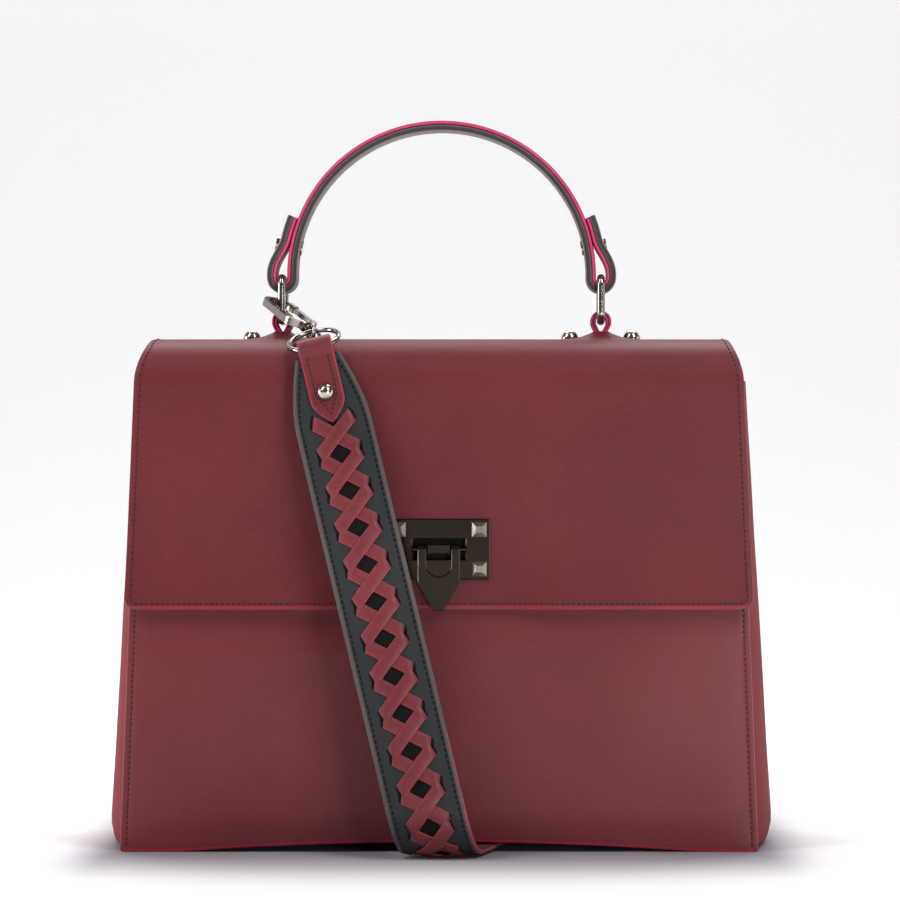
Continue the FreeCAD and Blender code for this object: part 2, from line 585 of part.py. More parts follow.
# Where the hook's ring, eye and bow come on the way from the strap end to the left ring's front leg.
loop_middle = strap_end + strap_up * number("end_loop_rise")
ring_lean = math.radians(number("end_ring_lean"))
ring_back = strap_back * math.cos(ring_lean) + strap_up * math.sin(ring_lean)
RING_OFF = number("end_ring - end_ring_seat")
near_ring = loop_middle + ring_back * RING_OFF
near_eye = near_ring + ring_back * number("end_ring")
clip_spot = V(-number(RING_X), -number("ring_wide / 2"), number(f"{RING_LOW} + clip_rise"))
hook_reach = (clip_spot - near_eye).Length
hook_high = hook_reach + number("hook_spare")
hook_half, hook_bar, hook_deep = number("hook_half"), number("hook_bar"), number("hook_deep")
collar_low = number("swivel_eye + hook_neck_long")
hook_end = collar_low + number("hook_collar_long")
hook_low = hook_end + hook_half + hook_bar / 2
hook_length = hook_high + hook_half + hook_bar / 2
gate_low = hook_low + number("gate_margin")
gate_high = hook_high - number("gate_mouth")
gate_gap, gate_thick = number("gate_gap"), number("gate_thick")
gate_pivot = V(hook_half, 0, gate_low + gate_gap + gate_thick / 2)


def lacing():
    """Flat lace in a row of crosses on the strap's face, from below the end tab to the floor bend."""
    wide, thick, zone = number("lace_width"), number("lace_thick"), number("lace_zone")
    pitch, first = number("lace_pitch"), number("lace_start")
    face = -number("strap_thick / 2")
    run = number(f"strap_top - {RUN_LOW}") / math.cos(slant)
    reach = zone * math.sqrt(2)
    bands = []
    for k in range(int((run - first) // pitch)):
        for turn in (-45, 45):
            band = Part.makeBox(reach, thick, wide, V(-reach / 2, face - thick, -wide / 2))
            band.rotate(V(), BACK, turn)
            band.translate(UP * -(first + (k + 0.5) * pitch))
            bands.append(band)
    strip = Part.makeBox(zone, 2 * thick, run, V(-zone / 2, face - 1.5 * thick, -run))
    return bands[0].multiFuse(bands[1:]).common(strip)


shaped("strap_lace", lacing(), near_frame)

tail_along = V(slope, 1, 0).normalize()
tail_across = V(1, -slope, 0).normalize()
BEND_STEPS = 4
FOLD_STEPS = 6
TAIL_LAYERS = 4


def strap_tail():
    """The strap from the floor bend on: back under the bag, then folded to and fro behind it.

    The loft's sections are (middle, half width, half thickness) and its last layer tapers to the far end.
    """
    half_thick, bend, level = number("strap_thick / 2"), number("strap_bend"), number(STRAP_LEVEL)
    level_half = ACROSS * number(f"strap_width / 2 * {STRAP_SLANT}")
    square_half = tail_across * number("strap_width / 2")
    end_half = tail_across * number("strap_end_width / 2")
    sections = []
    first = strap_end - strap_up * (number(f"strap_top - {RUN_LOW}") / math.cos(slant))
    hub = first + strap_back * bend
    for step in range(BEND_STEPS + 1):
        turn = (math.radians(90) + lean) * step / BEND_STEPS
        outward = V(slope * turn, -math.cos(turn - lean), -math.sin(turn - lean))
        sections.append((hub + outward * bend, level_half, V(0, outward.y, outward.z) * half_thick))
    to_back = number(f"{FRONT} + tail_gap") - sections[-1][0].y
    spot = sections[-1][0] + tail_along * (to_back / tail_along.y)
    sections.append((spot, square_half, UP * -half_thick))
    fold, heading, outside = number("tail_pitch / 2"), 1, -1
    for layer in range(TAIL_LAYERS - 1):
        spot = spot + tail_along * (heading * number("tail_run"))
        for step in range(FOLD_STEPS + 1):
            turn = math.pi * step / FOLD_STEPS
            swing = tail_along * (heading * math.sin(turn)) - UP * math.cos(turn)
            sections.append((spot + UP * fold + swing * fold, square_half, swing * (-outside * half_thick)))
        spot = spot + UP * (2 * fold)
        heading, outside = -heading, -outside
    end_run = number("tail_run - tail_spare - end_loop_rise - end_ring") - RING_OFF - hook_length
    spot = spot + tail_along * (heading * end_run)
    sections.append((spot, end_half, UP * half_thick))
    wires = []
    for middle, half, deep in sections:
        corners = [middle - half - deep, middle + half - deep, middle + half + deep, middle - half + deep]
        wires.append(Part.makePolygon(corners + corners[:1]))
    return Part.makeLoft(wires, True, True), spot


tail_shape, tail_end = strap_tail()
shaped("strap_tail", tail_shape)
far_frame = frame_of(tail_end, tail_across * -1, UP * -1, tail_along * -1)


def end_tab():
    """Leather folded round the strap end: a pointed front leaf, a loop for the ring and a back leaf."""
    inner, leather = number("strap_thick / 2"), number("end_tab_leather")
    outer = inner + leather
    front, rear, loop_z = -number("end_tab_front"), -number("end_tab_back"), number("end_loop_rise")
    edges = []
    for gap, loop in ((outer, number("end_loop + end_tab_leather")), (inner, number("end_loop"))):
        spots = [V(0, -gap, front), V(0, -gap, 0), V(0, -loop, loop_z), V(0, 0, loop_z + loop),
                 V(0, loop, loop_z), V(0, gap, 0), V(0, gap, rear)]
        line = [Part.LineSegment(spots[i], spots[i + 1]).toShape() for i in (0, 1, 4, 5)]
        line.append(Part.Arc(*spots[2:5]).toShape())
        edges.append((spots, line))
    (outer_spots, outer_line), (inner_spots, inner_line) = edges
    caps = [Part.LineSegment(outer_spots[i], inner_spots[i]).toShape() for i in (0, -1)]
    band = Part.Face(Part.Wire(Part.__sortEdges__(outer_line + inner_line + caps)))
    wide = number("end_tab_width")
    strip = band.extrude(ACROSS * wide)
    strip.translate(ACROSS * (-wide / 2))
    shoulder = front + number("end_tab_tip")
    half = wide / 2
    high = loop_z + 2 * number("end_loop + end_tab_leather")
    cheek = V(number("end_tab_cheek"), 0, (front + shoulder) / 2 - number("end_tab_leather"))
    point = V(0, 0, front)
    sides = [Part.LineSegment(V(-half, 0, shoulder), V(-half, 0, high)).toShape(),
             Part.LineSegment(V(-half, 0, high), V(half, 0, high)).toShape(),
             Part.LineSegment(V(half, 0, high), V(half, 0, shoulder)).toShape(),
             Part.Arc(V(half, 0, shoulder), cheek, point).toShape(),
             Part.Arc(point, V(-cheek.x, 0, cheek.z), V(-half, 0, shoulder)).toShape()]
    outline = Part.Face(Part.Wire(sides)).extrude(BACK * (4 * high))
    outline.translate(BACK * (-2 * high))
    return strip.common(outline)


def end_stud():
    """A domed stud on the end tab's front leaf."""
    radius = number("ball_radius")
    flat = number("end_stud_flat_angle")
    seat = number("strap_thick / 2 + end_tab_leather") + radius * math.sin(math.radians(flat))
    return Part.makeSphere(radius, V(0, -seat, -number("end_stud_drop")), BACK * -1, -flat, 90, 360)


def end_ring():
    """A round ring about the local origin, in the local XZ plane."""
    return Part.makeTorus(number("end_ring"), number("end_ring_wire / 2"), V(), BACK)


def stadium(half, low, high, deep):
    """A flat prism in the XZ plane with round ends about two centres on the Z axis."""
    edges = [Part.LineSegment(V(-half, 0, low), V(-half, 0, high)).toShape(),
             Part.Arc(V(-half, 0, high), V(0, 0, high + half), V(half, 0, high)).toShape(),
             Part.LineSegment(V(half, 0, high), V(half, 0, low)).toShape(),
             Part.Arc(V(half, 0, low), V(0, 0, low - half), V(-half, 0, low)).toShape()]
    prism = Part.Face(Part.Wire(edges)).extrude(BACK * deep)
    prism.translate(BACK * (-deep / 2))
    return prism


def hook_body():
    """A long oval hook, open on one side for its gate, with a collar for the swivel."""
    frame = stadium(hook_half + hook_bar / 2, hook_low, hook_high, hook_deep)
    frame = frame.cut(stadium(hook_half - hook_bar / 2, hook_low, hook_high, 2 * hook_deep))
    mouth = Part.makeBox(hook_half, 2 * hook_deep, gate_high - gate_low,
                         V(hook_half / 2, -hook_deep, gate_low))
    collar = Part.makeCylinder(number("hook_collar"), hook_end + hook_bar / 2 - collar_low,
                               V(0, 0, collar_low))
    return frame.cut(mouth).fuse(collar)


def hook_gate():
    """The sprung bar that closes the hook's open side."""
    corner = V(hook_half - gate_thick / 2, -gate_thick / 2, gate_pivot.z)
    bar = Part.makeBox(gate_thick, gate_thick, gate_high - gate_gap - gate_pivot.z, corner)
    knuckle = Part.makeCylinder(gate_thick / 2, gate_thick, gate_pivot - BACK * (gate_thick / 2), BACK)
    return bar.fuse(knuckle).removeSplitter()


def hook_swivel():
    """A neck with an eye for the ring, about the local origin."""
    eye = Part.makeTorus(number("swivel_eye"), number("swivel_wire / 2"), V(), ACROSS)
    start = number("swivel_eye")
    neck = Part.makeCylinder(number("hook_neck"), collar_low - start, V(0, 0, start))
    return eye.fuse(neck)


hook_along = (clip_spot - near_eye).normalize()
hook_back = (UP - hook_along * UP.dot(hook_along)).normalize()
near_swivel_frame = frame_of(near_eye, hook_back.cross(hook_along), hook_back, hook_along)
rolled_back = FreeCAD.Rotation(hook_along, number("hook_roll")).multVec(hook_back)
near_hook_frame = frame_of(near_eye, rolled_back.cross(hook_along), rolled_back, hook_along)
near_ring_frame = frame_of(near_ring, strap_across, ring_back.cross(strap_across), ring_back)

far_along = tail_along * -1
far_loop = tail_end + far_along * number("end_loop_rise")
far_ring = far_loop + far_along * RING_OFF
far_eye = far_ring + far_along * number("end_ring")
far_ring_frame = frame_of(far_ring, tail_across * -1, UP * -1, far_along)
far_hook_frame = frame_of(far_eye, tail_across * -1, UP * -1, far_along)

strap_ends = (("near", near_frame, near_ring_frame, near_swivel_frame, near_hook_frame),
              ("far", far_frame, far_ring_frame, far_hook_frame, far_hook_frame))
for name, tab_frame, ring_frame, swivel_frame, hook_frame in strap_ends:
    shaped(f"{name}_end_tab", end_tab(), tab_frame)
    shaped(f"{name}_end_stud", end_stud(), tab_frame)
    shaped(f"{name}_end_ring", end_ring(), ring_frame)
    shaped(f"{name}_hook_swivel", hook_swivel(), swivel_frame)
    shaped(f"{name}_hook", hook_body(), hook_frame)
    shaped(f"{name}_hook_gate", hook_gate(), hook_frame)

doc.recompute()
for thing in doc.Objects:
    if "Invalid" in thing.State or "Error" in thing.State:
        raise RuntimeError(f"{thing.Label} failed: {thing.State}")
for piece in pieces:
    if piece.Shape.isNull() or not piece.Shape.isValid():
        raise RuntimeError(f"{piece.Label} has no valid shape")
for piece in pieces:
    piece.Shape.exportStep(f"parts/{piece.Label}.step")
for name, _, _, _, hook_frame in strap_ends:
    print(name, "gate pivot", hook_frame.multVec(gate_pivot), "axis", hook_frame.Rotation.multVec(BACK))
    print(name, "hook eye", hook_frame.Base, "along", hook_frame.Rotation.multVec(UP))
print(len(pieces), "sub-parts")
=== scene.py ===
import math

import bmesh
import bpy
from mathutils import Matrix, Vector, noise


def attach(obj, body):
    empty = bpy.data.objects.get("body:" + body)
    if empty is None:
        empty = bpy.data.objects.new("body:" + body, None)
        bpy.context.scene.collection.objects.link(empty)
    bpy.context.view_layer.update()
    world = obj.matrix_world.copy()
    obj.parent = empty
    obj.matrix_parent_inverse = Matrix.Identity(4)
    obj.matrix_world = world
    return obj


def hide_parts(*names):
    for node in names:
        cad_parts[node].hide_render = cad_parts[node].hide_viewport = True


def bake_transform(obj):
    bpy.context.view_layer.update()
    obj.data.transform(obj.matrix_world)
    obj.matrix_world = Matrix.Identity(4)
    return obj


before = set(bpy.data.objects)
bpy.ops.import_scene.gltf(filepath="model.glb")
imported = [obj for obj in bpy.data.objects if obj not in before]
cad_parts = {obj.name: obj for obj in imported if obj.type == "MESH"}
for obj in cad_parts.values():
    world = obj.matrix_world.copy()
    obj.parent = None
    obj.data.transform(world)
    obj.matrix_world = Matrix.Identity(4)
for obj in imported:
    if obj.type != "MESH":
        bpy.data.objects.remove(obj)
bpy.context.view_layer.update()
MM = 0.001

# Front panel: one trapezoid of smooth burgundy leather, about 2.5 mm with its backing, whose cut edges are
# painted raspberry. It is sewn to the gussets along both sides, and its foot line bows up between the ends.
BODY_FRONT = -60.0
PANEL_THICK = 2.5
FRONT_TOP = 236.0
FOOT_HALF = 159.5
FOOT_FLAT = 129.5
FOOT_BOW = 5.0
SIDE_TAPER = 9.0
FOOT_CORNER = 2.5
SEAM_INSET = 2.9
SEAM_COLUMNS = (0.0182, 0.022, 0.027, 0.05, 0.07)
GROOVE_DEEP = 0.35
GROOVE_WIDE = 0.8
EDGE_ROLL = 0.5
SIDE_ROLL = 0.014
FOOT_ROLL = 0.006
FLAP_COVERS = 119.0
PILLOW = 2.8
PILLOW_FADE = 18.0
FRONT_SWELL = 1.0


def linear(red, green, blue):
    """A colour given in 8-bit steps, as the shader takes it."""
    shares = [channel / 255 for channel in (red, green, blue)]
    return tuple(s / 12.92 if s <= 0.04045 else ((s + 0.055) / 1.055) ** 2.4 for s in shares) + (1.0,)


def join(links, *joins):
    """Join sockets: each entry is a node and its output, then a node and its input."""
    for start, output, end, entry in joins:
        links.new(start.outputs[output], end.inputs[entry])


def preset(node, values):
    """Set inputs of a node."""
    for socket, value in values.items():
        node.inputs[socket].default_value = value


def texture_group(name, inputs, outputs):
    """A shader node group with number sockets: the group, its nodes and links, and its entry and exit."""
    group = bpy.data.node_groups.new(name, "ShaderNodeTree")
    for title, value in inputs.items():
        socket = group.interface.new_socket(title, in_out="INPUT", socket_type="NodeSocketFloat")
        socket.default_value = value
    for title in outputs:
        group.interface.new_socket(title, in_out="OUTPUT", socket_type="NodeSocketFloat")
    nodes = group.nodes
    return group, nodes, group.links, nodes.new("NodeGroupInput"), nodes.new("NodeGroupOutput")


def leather_grain():
    """Node group of smooth leather: slow tone drift and a fine pebbled height, on Object coordinates."""
    group, nodes, links, entry, leave = texture_group(
        "leather_grain", {"Pebble scale": 900.0, "Drift scale": 14.0}, ("Tone", "Height"))
    place, cells = nodes.new("ShaderNodeTexCoord"), nodes.new("ShaderNodeTexVoronoi")
    drift, pebble, pore = (nodes.new("ShaderNodeTexNoise") for _ in range(3))
    mottle, rough = nodes.new("ShaderNodeMix"), nodes.new("ShaderNodeMix")
    rim = nodes.new("ShaderNodeMapRange")
    cells.feature = "DISTANCE_TO_EDGE"
    preset(drift, {"Detail": 3.0})
    preset(pebble, {"Scale": 420.0, "Detail": 4.0})
    preset(pore, {"Scale": 60.0, "Detail": 2.0})
    preset(mottle, {"Factor": 0.35})
    preset(rough, {"Factor": 0.5})
    preset(rim, {"From Max": 0.35})
    join(links, *((place, "Object", node, "Vector") for node in (drift, pebble, pore, cells)))
    join(links, (entry, "Drift scale", drift, "Scale"), (entry, "Pebble scale", cells, "Scale"),
         (drift, "Fac", mottle, "A"), (pebble, "Fac", mottle, "B"), (mottle, "Result", leave, "Tone"),
         (cells, "Distance", rim, "Value"), (rim, "Result", rough, "A"), (pore, "Fac", rough, "B"),
         (rough, "Result", leave, "Height"))
    return group


LEATHER_GRAIN = leather_grain()


def new_finish(name):
    """A new material with its nodes, its links and its shader."""
    material = bpy.data.materials.new(name)
    material.use_nodes = True
    nodes = material.node_tree.nodes
    return material, nodes, material.node_tree.links, nodes["Principled BSDF"]


def two_tones(nodes, deep, pale):
    """A mix of two colours."""
    tone = nodes.new("ShaderNodeMix")
    tone.data_type = "RGBA"
    preset(tone, {"A": deep, "B": pale})
    return tone


def leather(name, deep, pale, smooth, dull, pebble=900.0, relief=0.05, gloss=0.32):
    """Leather between two tones, with its roughness following the tone and the grain as a bump."""
    material, nodes, links, shader = new_finish(name)
    grain, bump = nodes.new("ShaderNodeGroup"), nodes.new("ShaderNodeBump")
    spread, sheen = nodes.new("ShaderNodeMapRange"), nodes.new("ShaderNodeMapRange")
    tone = two_tones(nodes, deep, pale)
    grain.node_tree = LEATHER_GRAIN
    preset(grain, {"Pebble scale": pebble})
    preset(spread, {"From Min": 0.35, "From Max": 0.65})
    preset(sheen, {"To Min": smooth, "To Max": dull})
    preset(bump, {"Strength": relief, "Distance": 0.0004})
    preset(shader, {"Specular IOR Level": gloss})
    join(links, (grain, "Tone", spread, "Value"), (spread, "Result", tone, "Factor"),
         (tone, "Result", shader, "Base Color"), (grain, "Tone", sheen, "Value"),
         (sheen, "Result", shader, "Roughness"), (grain, "Height", bump, "Height"),
         (bump, "Normal", shader, "Normal"))
    return material


BURGUNDY = leather("burgundy_leather", linear(101, 36, 42), linear(112, 43, 49), 0.42, 0.5)
BURGUNDY_BACK = leather("burgundy_backing", linear(84, 40, 46), linear(96, 48, 54), 0.7, 0.8)
EDGE_PAINT = leather("edge_paint", linear(152, 36, 58), linear(170, 46, 70), 0.4, 0.52, 500.0, 0.08)


def off_line(place, start, end):
    """How far a place is from the line through two others."""
    along = (end - start).normalized()
    return (place - start - along * (place - start).dot(along)).length


def shaped(name, form):
    """The plain mesh of a finished form."""
    mesh = bpy.data.meshes.new(name)
    form.to_mesh(mesh)
    form.free()
    return mesh


def placed(name, data):
    """An object at the origin with its mesh, its light or its lens."""
    piece = bpy.data.objects.new(name, data)
    bpy.context.scene.collection.objects.link(piece)
    return piece


def sheet_mesh(name, outer, inner, materials, swell=0.25, margin=(0.0, 0.0, 0.0), hole=None):
    """A closed sheet between two grids of points in millimetres, with a rounded cut edge all round.

    Materials are for the outer face, the edge's outer half, the inner face, the edge's inner half and the
    wall of a hole. The edge's paint runs over a margin of the outer face at its first row, its last row
    and its sides. A hole leaves out the cells between two rows and two columns.
    """
    rows, columns = len(outer), len(outer[0])
    form = bmesh.new()
    layers = [[[form.verts.new(Vector(p) * MM) for p in row] for row in grid] for grid in (outer, inner)]

    def in_margin(face, i, j):
        grid = layers[0]
        rims = ((grid[0][j], grid[0][j + 1], margin[0]), (grid[-1][j], grid[-1][j + 1], margin[1]),
                (grid[i][0], grid[i + 1][0], margin[2]), (grid[i][-1], grid[i + 1][-1], margin[2]))
        middle = face.calc_center_median()
        return any(off_line(middle, a.co, b.co) < wide * MM for a, b, wide in rims)

    for i in range(rows - 1):
        for j in range(columns - 1):
            if hole and hole[0] <= i < hole[1] and hole[2] <= j < hole[3]:
                continue
            for layer, grid in enumerate(layers):
                face = form.faces.new((grid[i][j], grid[i][j + 1], grid[i + 1][j + 1], grid[i + 1][j]))
                face.material_index = 1 if layer == 0 and in_margin(face, i, j) else 2 * layer
    around = [(i, 0) for i in range(rows)]
    around += [(rows - 1, j) for j in range(1, columns)]
    around += [(i, columns - 1) for i in range(rows - 2, -1, -1)]
    around += [(0, j) for j in range(columns - 2, 0, -1)]
    middles = []
    for i, j in around:
        inside = layers[0][min(max(i, 1), rows - 2)][min(max(j, 1), columns - 2)]
        upper, lower = layers[0][i][j].co, layers[1][i][j].co
        middles.append(form.verts.new((upper + lower) / 2 + (upper - inside.co).normalized() * swell * MM))
    for k, (i, j) in enumerate(around):
        following = (k + 1) % len(around)
        m, n = around[following]
        for layer, grid in enumerate(layers):
            face = form.faces.new((grid[i][j], grid[m][n], middles[following], middles[k]))
            face.material_index = 1 + 2 * layer
    if hole:
        low, high, left, right = hole
        ring = [(i, left) for i in range(low, high)] + [(high, j) for j in range(left, right)]
        ring += [(i, right) for i in range(high, low, -1)] + [(low, j) for j in range(right, left, -1)]
        for (i, j), (m, n) in zip(ring, ring[1:] + ring[:1]):
            face = form.faces.new((layers[0][i][j], layers[0][m][n], layers[1][m][n], layers[1][i][j]))
            face.material_index = 4
    bmesh.ops.recalc_face_normals(form, faces=form.faces)
    for face in form.faces:
        face.smooth = True
    mesh = shaped(name, form)
    for material in materials:
        mesh.materials.append(material)
    mesh.set_sharp_from_angle(angle=math.radians(50))
    return placed(name, mesh)


def steps(start, end, count):
    """Evenly spaced values, both ends included."""
    return [start + (end - start) * k / (count - 1) for k in range(count)]


def edged(count, margin=0.012):
    """Places from -1 to 1 with two extra ones close to each end, where leather rolls off."""
    low = [-1.0, -1.0 + margin / 2, -1.0 + margin]
    high = [1.0 - margin, 1.0 - margin / 2, 1.0]
    return low + steps(-1.0 + 2.5 * margin, 1.0 - 2.5 * margin, count) + high


def foot_line(x):
    """Height of the bowed foot line."""
    return FOOT_BOW * max(0.0, 1.0 - (x / FOOT_FLAT) ** 2)


def panel_half(z):
    """Half the width of the front and back panels, with small round corners at the foot."""
    corner = FOOT_CORNER - math.sqrt(max(FOOT_CORNER ** 2 - max(FOOT_CORNER - z, 0.0) ** 2, 0.0))
    return FOOT_HALF - SIDE_TAPER * z / FRONT_TOP - corner


def panel_grids(face_y, outward, top, half, belly):
    """Outer and inner points of an upright panel, swelling a little where nothing lies on it."""
    outer, inner = [], []
    by_seam = [side * (1.0 - inset) for side in (-1, 1) for inset in SEAM_COLUMNS]
    for v in [(place + 1) / 2 for place in edged(54)]:
        outer_row, inner_row = [], []
        for u in sorted(edged(70, SIDE_ROLL) + by_seam):
            x = u * half(v * top)
            z = foot_line(x) + v * (top - foot_line(x))
            roll = EDGE_ROLL * max(0.0, 1.0 - (1.0 - abs(u)) / SIDE_ROLL) ** 2
            roll += EDGE_ROLL * max(0.0, 1.0 - v / FOOT_ROLL) ** 2
            inset = (1.0 - abs(u)) * FOOT_HALF
            groove = GROOVE_DEEP * math.exp(-((inset - SEAM_INSET) / GROOVE_WIDE) ** 2)
            drift = 0.35 * noise.noise(Vector((x / 60.0, z / 60.0, face_y)))
            out = belly(u, z) * (1.0 + drift) - roll - groove
            outer_row.append((u * half(z), face_y + outward * out, z))
            inner_row.append((u * half(z), face_y - outward * PANEL_THICK, z))
        outer.append(outer_row)
        inner.append(inner_row)
    return outer, inner


def front_belly(u, z):
    """The front swells below the flap, most a little under half way."""
    if z > FLAP_COVERS:
        return 0.0
    inset = max((1.0 - abs(u)) * FOOT_HALF - SEAM_INSET, 0.0)
    fade = min(1.0, (FLAP_COVERS - z) / PILLOW_FADE, (z + 1.0) / PILLOW_FADE)
    pillow = PILLOW * (1.0 - math.exp(-inset / 15.0)) * fade
    return pillow + FRONT_SWELL * math.sin(math.pi * z / FLAP_COVERS) ** 1.5 * (1.0 - u * u)


LEATHER_SHEET = (BURGUNDY, EDGE_PAINT, BURGUNDY_BACK, EDGE_PAINT)
PAINT_OVER = 1.7
front_grids = panel_grids(BODY_FRONT, -1, FRONT_TOP, panel_half, front_belly)
front = sheet_mesh("leather_front", *front_grids, LEATHER_SHEET, margin=(PAINT_OVER, 0.0, 0.0))
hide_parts("front_panel")
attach(front, "bag")

# Back panel: the same leather, carried up to the flap's hinge line with sloped upper corners.
# It swells evenly, as a bag's back does over what it carries.
BODY_BACK = 60.0
BACK_TOP = 254.0
BACK_HEAD_HALF = 145.5
BACK_SWELL = 2.2


def back_half(z):
    """Half the width of the back panel, which draws in above the front's height."""
    if z <= FRONT_TOP:
        return panel_half(z)
    shoulder = panel_half(FRONT_TOP)
    return shoulder + (BACK_HEAD_HALF - shoulder) * (z - FRONT_TOP) / (BACK_TOP - FRONT_TOP)


def back_belly(u, z):
    """A slow swell over the whole back."""
    return BACK_SWELL * math.sin(math.pi * min(z / BACK_TOP, 1.0)) ** 1.4 * (1.0 - u * u)


back_grids = panel_grids(BODY_BACK, 1, BACK_TOP, back_half, back_belly)
back = sheet_mesh("leather_back", *back_grids, LEATHER_SHEET, margin=(PAINT_OVER, 0.0, 0.0))
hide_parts("back_panel")
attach(back, "bag")

# Base: a panel of the same leather on a stiff backing, sewn between the front and back panels. It bows up
# between the two flat ends that the bag stands on.
BASE_THICK = 3.0
BETWEEN_PANELS = 57.3
base_outer, base_inner = [], []
for v in edged(24, 0.02):
    base_line = [(u * FOOT_HALF, v * BETWEEN_PANELS) for u in edged(70, SIDE_ROLL)]
    base_outer.append([(x, y, foot_line(x)) for x, y in base_line])
    base_inner.append([(x, y, foot_line(x) + BASE_THICK) for x, y in base_line])
base = sheet_mesh("leather_base", base_outer, base_inner, LEATHER_SHEET)
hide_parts("base_panel")
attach(base, "bag")

# Gussets: end panels of the same leather with a duller finish, their tone painted a little lighter and redder
# than the front's as lit from the side. They are sewn between the front and back panels, bow outwards and
# fold in at their upper middle, as a bag's ends do when it is shut.
BURGUNDY_END_LIT = leather("burgundy_end_leather_lit", linear(108, 36, 42), linear(120, 43, 49), 0.6, 0.7, gloss=0.08)
GUSSET_FOOT = 3.0
GUSSET_TOP = 236.0
GUSSET_BOW = 12.0
GUSSET_BOW_LOSS = 5.0
GUSSET_TUCK = 3.0
GUSSET_CREASE = 1.6
for side, name in ((-1, "left"), (1, "right")):
    outer, inner = [], []
    for place in edged(50, 0.01):
        v = (place + 1) / 2
        z = GUSSET_FOOT + v * (GUSSET_TOP - GUSSET_FOOT)
        bow = GUSSET_BOW - GUSSET_BOW_LOSS * v - GUSSET_TUCK * max(0.0, 1.0 - v / 0.05) ** 2
        outer_row, inner_row = [], []
        for t in edged(40, 0.02):
            crease = GUSSET_CREASE * math.exp(-(t / 0.16) ** 2) * max(0.0, (v - 0.45) / 0.55) ** 1.5
            out = panel_half(z) - 1.0 + bow * (1.0 - t * t) - crease
            out += 0.3 * noise.noise(Vector((t * 2.0, z / 45.0, side * 3.0)))
            outer_row.append((side * out, t * BETWEEN_PANELS, z))
            inner_row.append((side * (out - PANEL_THICK), t * BETWEEN_PANELS, z))
        outer.append(outer_row)
        inner.append(inner_row)
    gusset = sheet_mesh(f"leather_gusset_{name}", outer, inner, (BURGUNDY_END_LIT,) + LEATHER_SHEET[1:])
    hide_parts(f"gusset_{name}")
    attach(gusset, "bag")

# Seams: dark waxed thread in even stitches along the panels' sides. Each row is a path with a facing on its
# points, and the node tree lays a stitch at every pitch along it.
THREAD = leather("waxed_thread", linear(34, 10, 14), linear(52, 16, 22), 0.45, 0.6, 2000.0, 0.2)
STITCH_PITCH = 2.7
STITCH_LONG = 1.75
STITCH_WIDE = 0.8
SEAM_ENDS = 4.0


def path_tree(name, sockets, output):
    """A geometry node tree: the tree, its nodes and links, and its entry and exit."""
    tree = bpy.data.node_groups.new(name, "GeometryNodeTree")
    for title, kind, value in sockets:
        socket = tree.interface.new_socket(title, in_out="INPUT", socket_type="NodeSocket" + kind)
        if value is not None:
            socket.default_value = value
    tree.interface.new_socket(output, in_out="OUTPUT", socket_type="NodeSocketGeometry")
    nodes = tree.nodes
    return tree, nodes, tree.links, nodes.new("NodeGroupInput"), nodes.new("NodeGroupOutput")


def laid_along(nodes, links, entry, mode, spacing, target, forward):
    """Instances along a path, one axis along it and Z on its facing, and the node that makes them real."""
    curve, spaced = nodes.new("GeometryNodeMeshToCurve"), nodes.new("GeometryNodeResampleCurve")
    along, facing = (nodes.new("FunctionNodeAlignRotationToVector") for _ in range(2))
    heading, outward = nodes.new("GeometryNodeInputTangent"), nodes.new("GeometryNodeInputNamedAttribute")
    laid, real = nodes.new("GeometryNodeInstanceOnPoints"), nodes.new("GeometryNodeRealizeInstances")
    spaced.mode = mode
    along.axis, facing.axis, facing.pivot_axis = forward, "Z", forward
    outward.data_type = "FLOAT_VECTOR"
    preset(outward, {"Name": "facing"})
    join(links, (entry, "Path", curve, "Mesh"), (curve, "Curve", spaced, "Curve"),
         (entry, spacing, spaced, target), (heading, "Tangent", along, "Vector"),
         (along, "Rotation", facing, "Rotation"), (outward, "Attribute", facing, "Vector"),
         (spaced, "Curve", laid, "Points"), (facing, "Rotation", laid, "Rotation"),
         (laid, "Instances", real, "Geometry"))
    return laid, real


def stitch_row_tree():
    """Geometry nodes: stitches along a path, turned along it and facing out of the leather."""
    tree, nodes, links, entry, leave = path_tree(
        "stitch_row", [("Path", "Geometry", None), ("Pitch", "Float", STITCH_PITCH * MM),
                       ("Length", "Float", STITCH_LONG * MM), ("Width", "Float", STITCH_WIDE * MM),
                       ("Thread", "Material", None)], "Stitches")
    thread, size = nodes.new("GeometryNodeMeshUVSphere"), nodes.new("ShaderNodeCombineXYZ")
    drawn, smooth = nodes.new("GeometryNodeTransform"), nodes.new("GeometryNodeSetShadeSmooth")
    dressed = nodes.new("GeometryNodeSetMaterial")
    preset(thread, {"Segments": 8, "Rings": 5, "Radius": 0.5})
    laid, real = laid_along(nodes, links, entry, "LENGTH", "Pitch", "Length", "X")
    join(links, (entry, "Length", size, "X"), (entry, "Width", size, "Y"), (entry, "Width", size, "Z"),
         (thread, "Mesh", drawn, "Geometry"), (size, "Vector", drawn, "Scale"),
         (drawn, "Geometry", laid, "Instance"), (real, "Geometry", smooth, "Geometry"),
         (smooth, "Geometry", dressed, "Geometry"), (entry, "Thread", dressed, "Material"),
         (dressed, "Geometry", leave, "Stitches"))
    return tree


STITCH_ROW = stitch_row_tree()


def grown(name, mesh, tree, values):
    """The plain mesh that a node tree makes of a mesh, as an object of its own."""
    source = placed(name + "_source", mesh)
    modifier = source.modifiers.new("grow", "NODES")
    modifier.node_group = tree
    sockets = {item.name: item.identifier for item in tree.interface.items_tree if item.in_out == "INPUT"}
    for key, value in values.items():
        modifier[sockets[key]] = value
    bpy.context.view_layer.update()
    made = source.evaluated_get(bpy.context.evaluated_depsgraph_get())
    plain = bpy.data.meshes.new_from_object(made)
    plain.name = name
    source.modifiers.remove(modifier)
    bpy.data.objects.remove(source)
    return placed(name, plain)


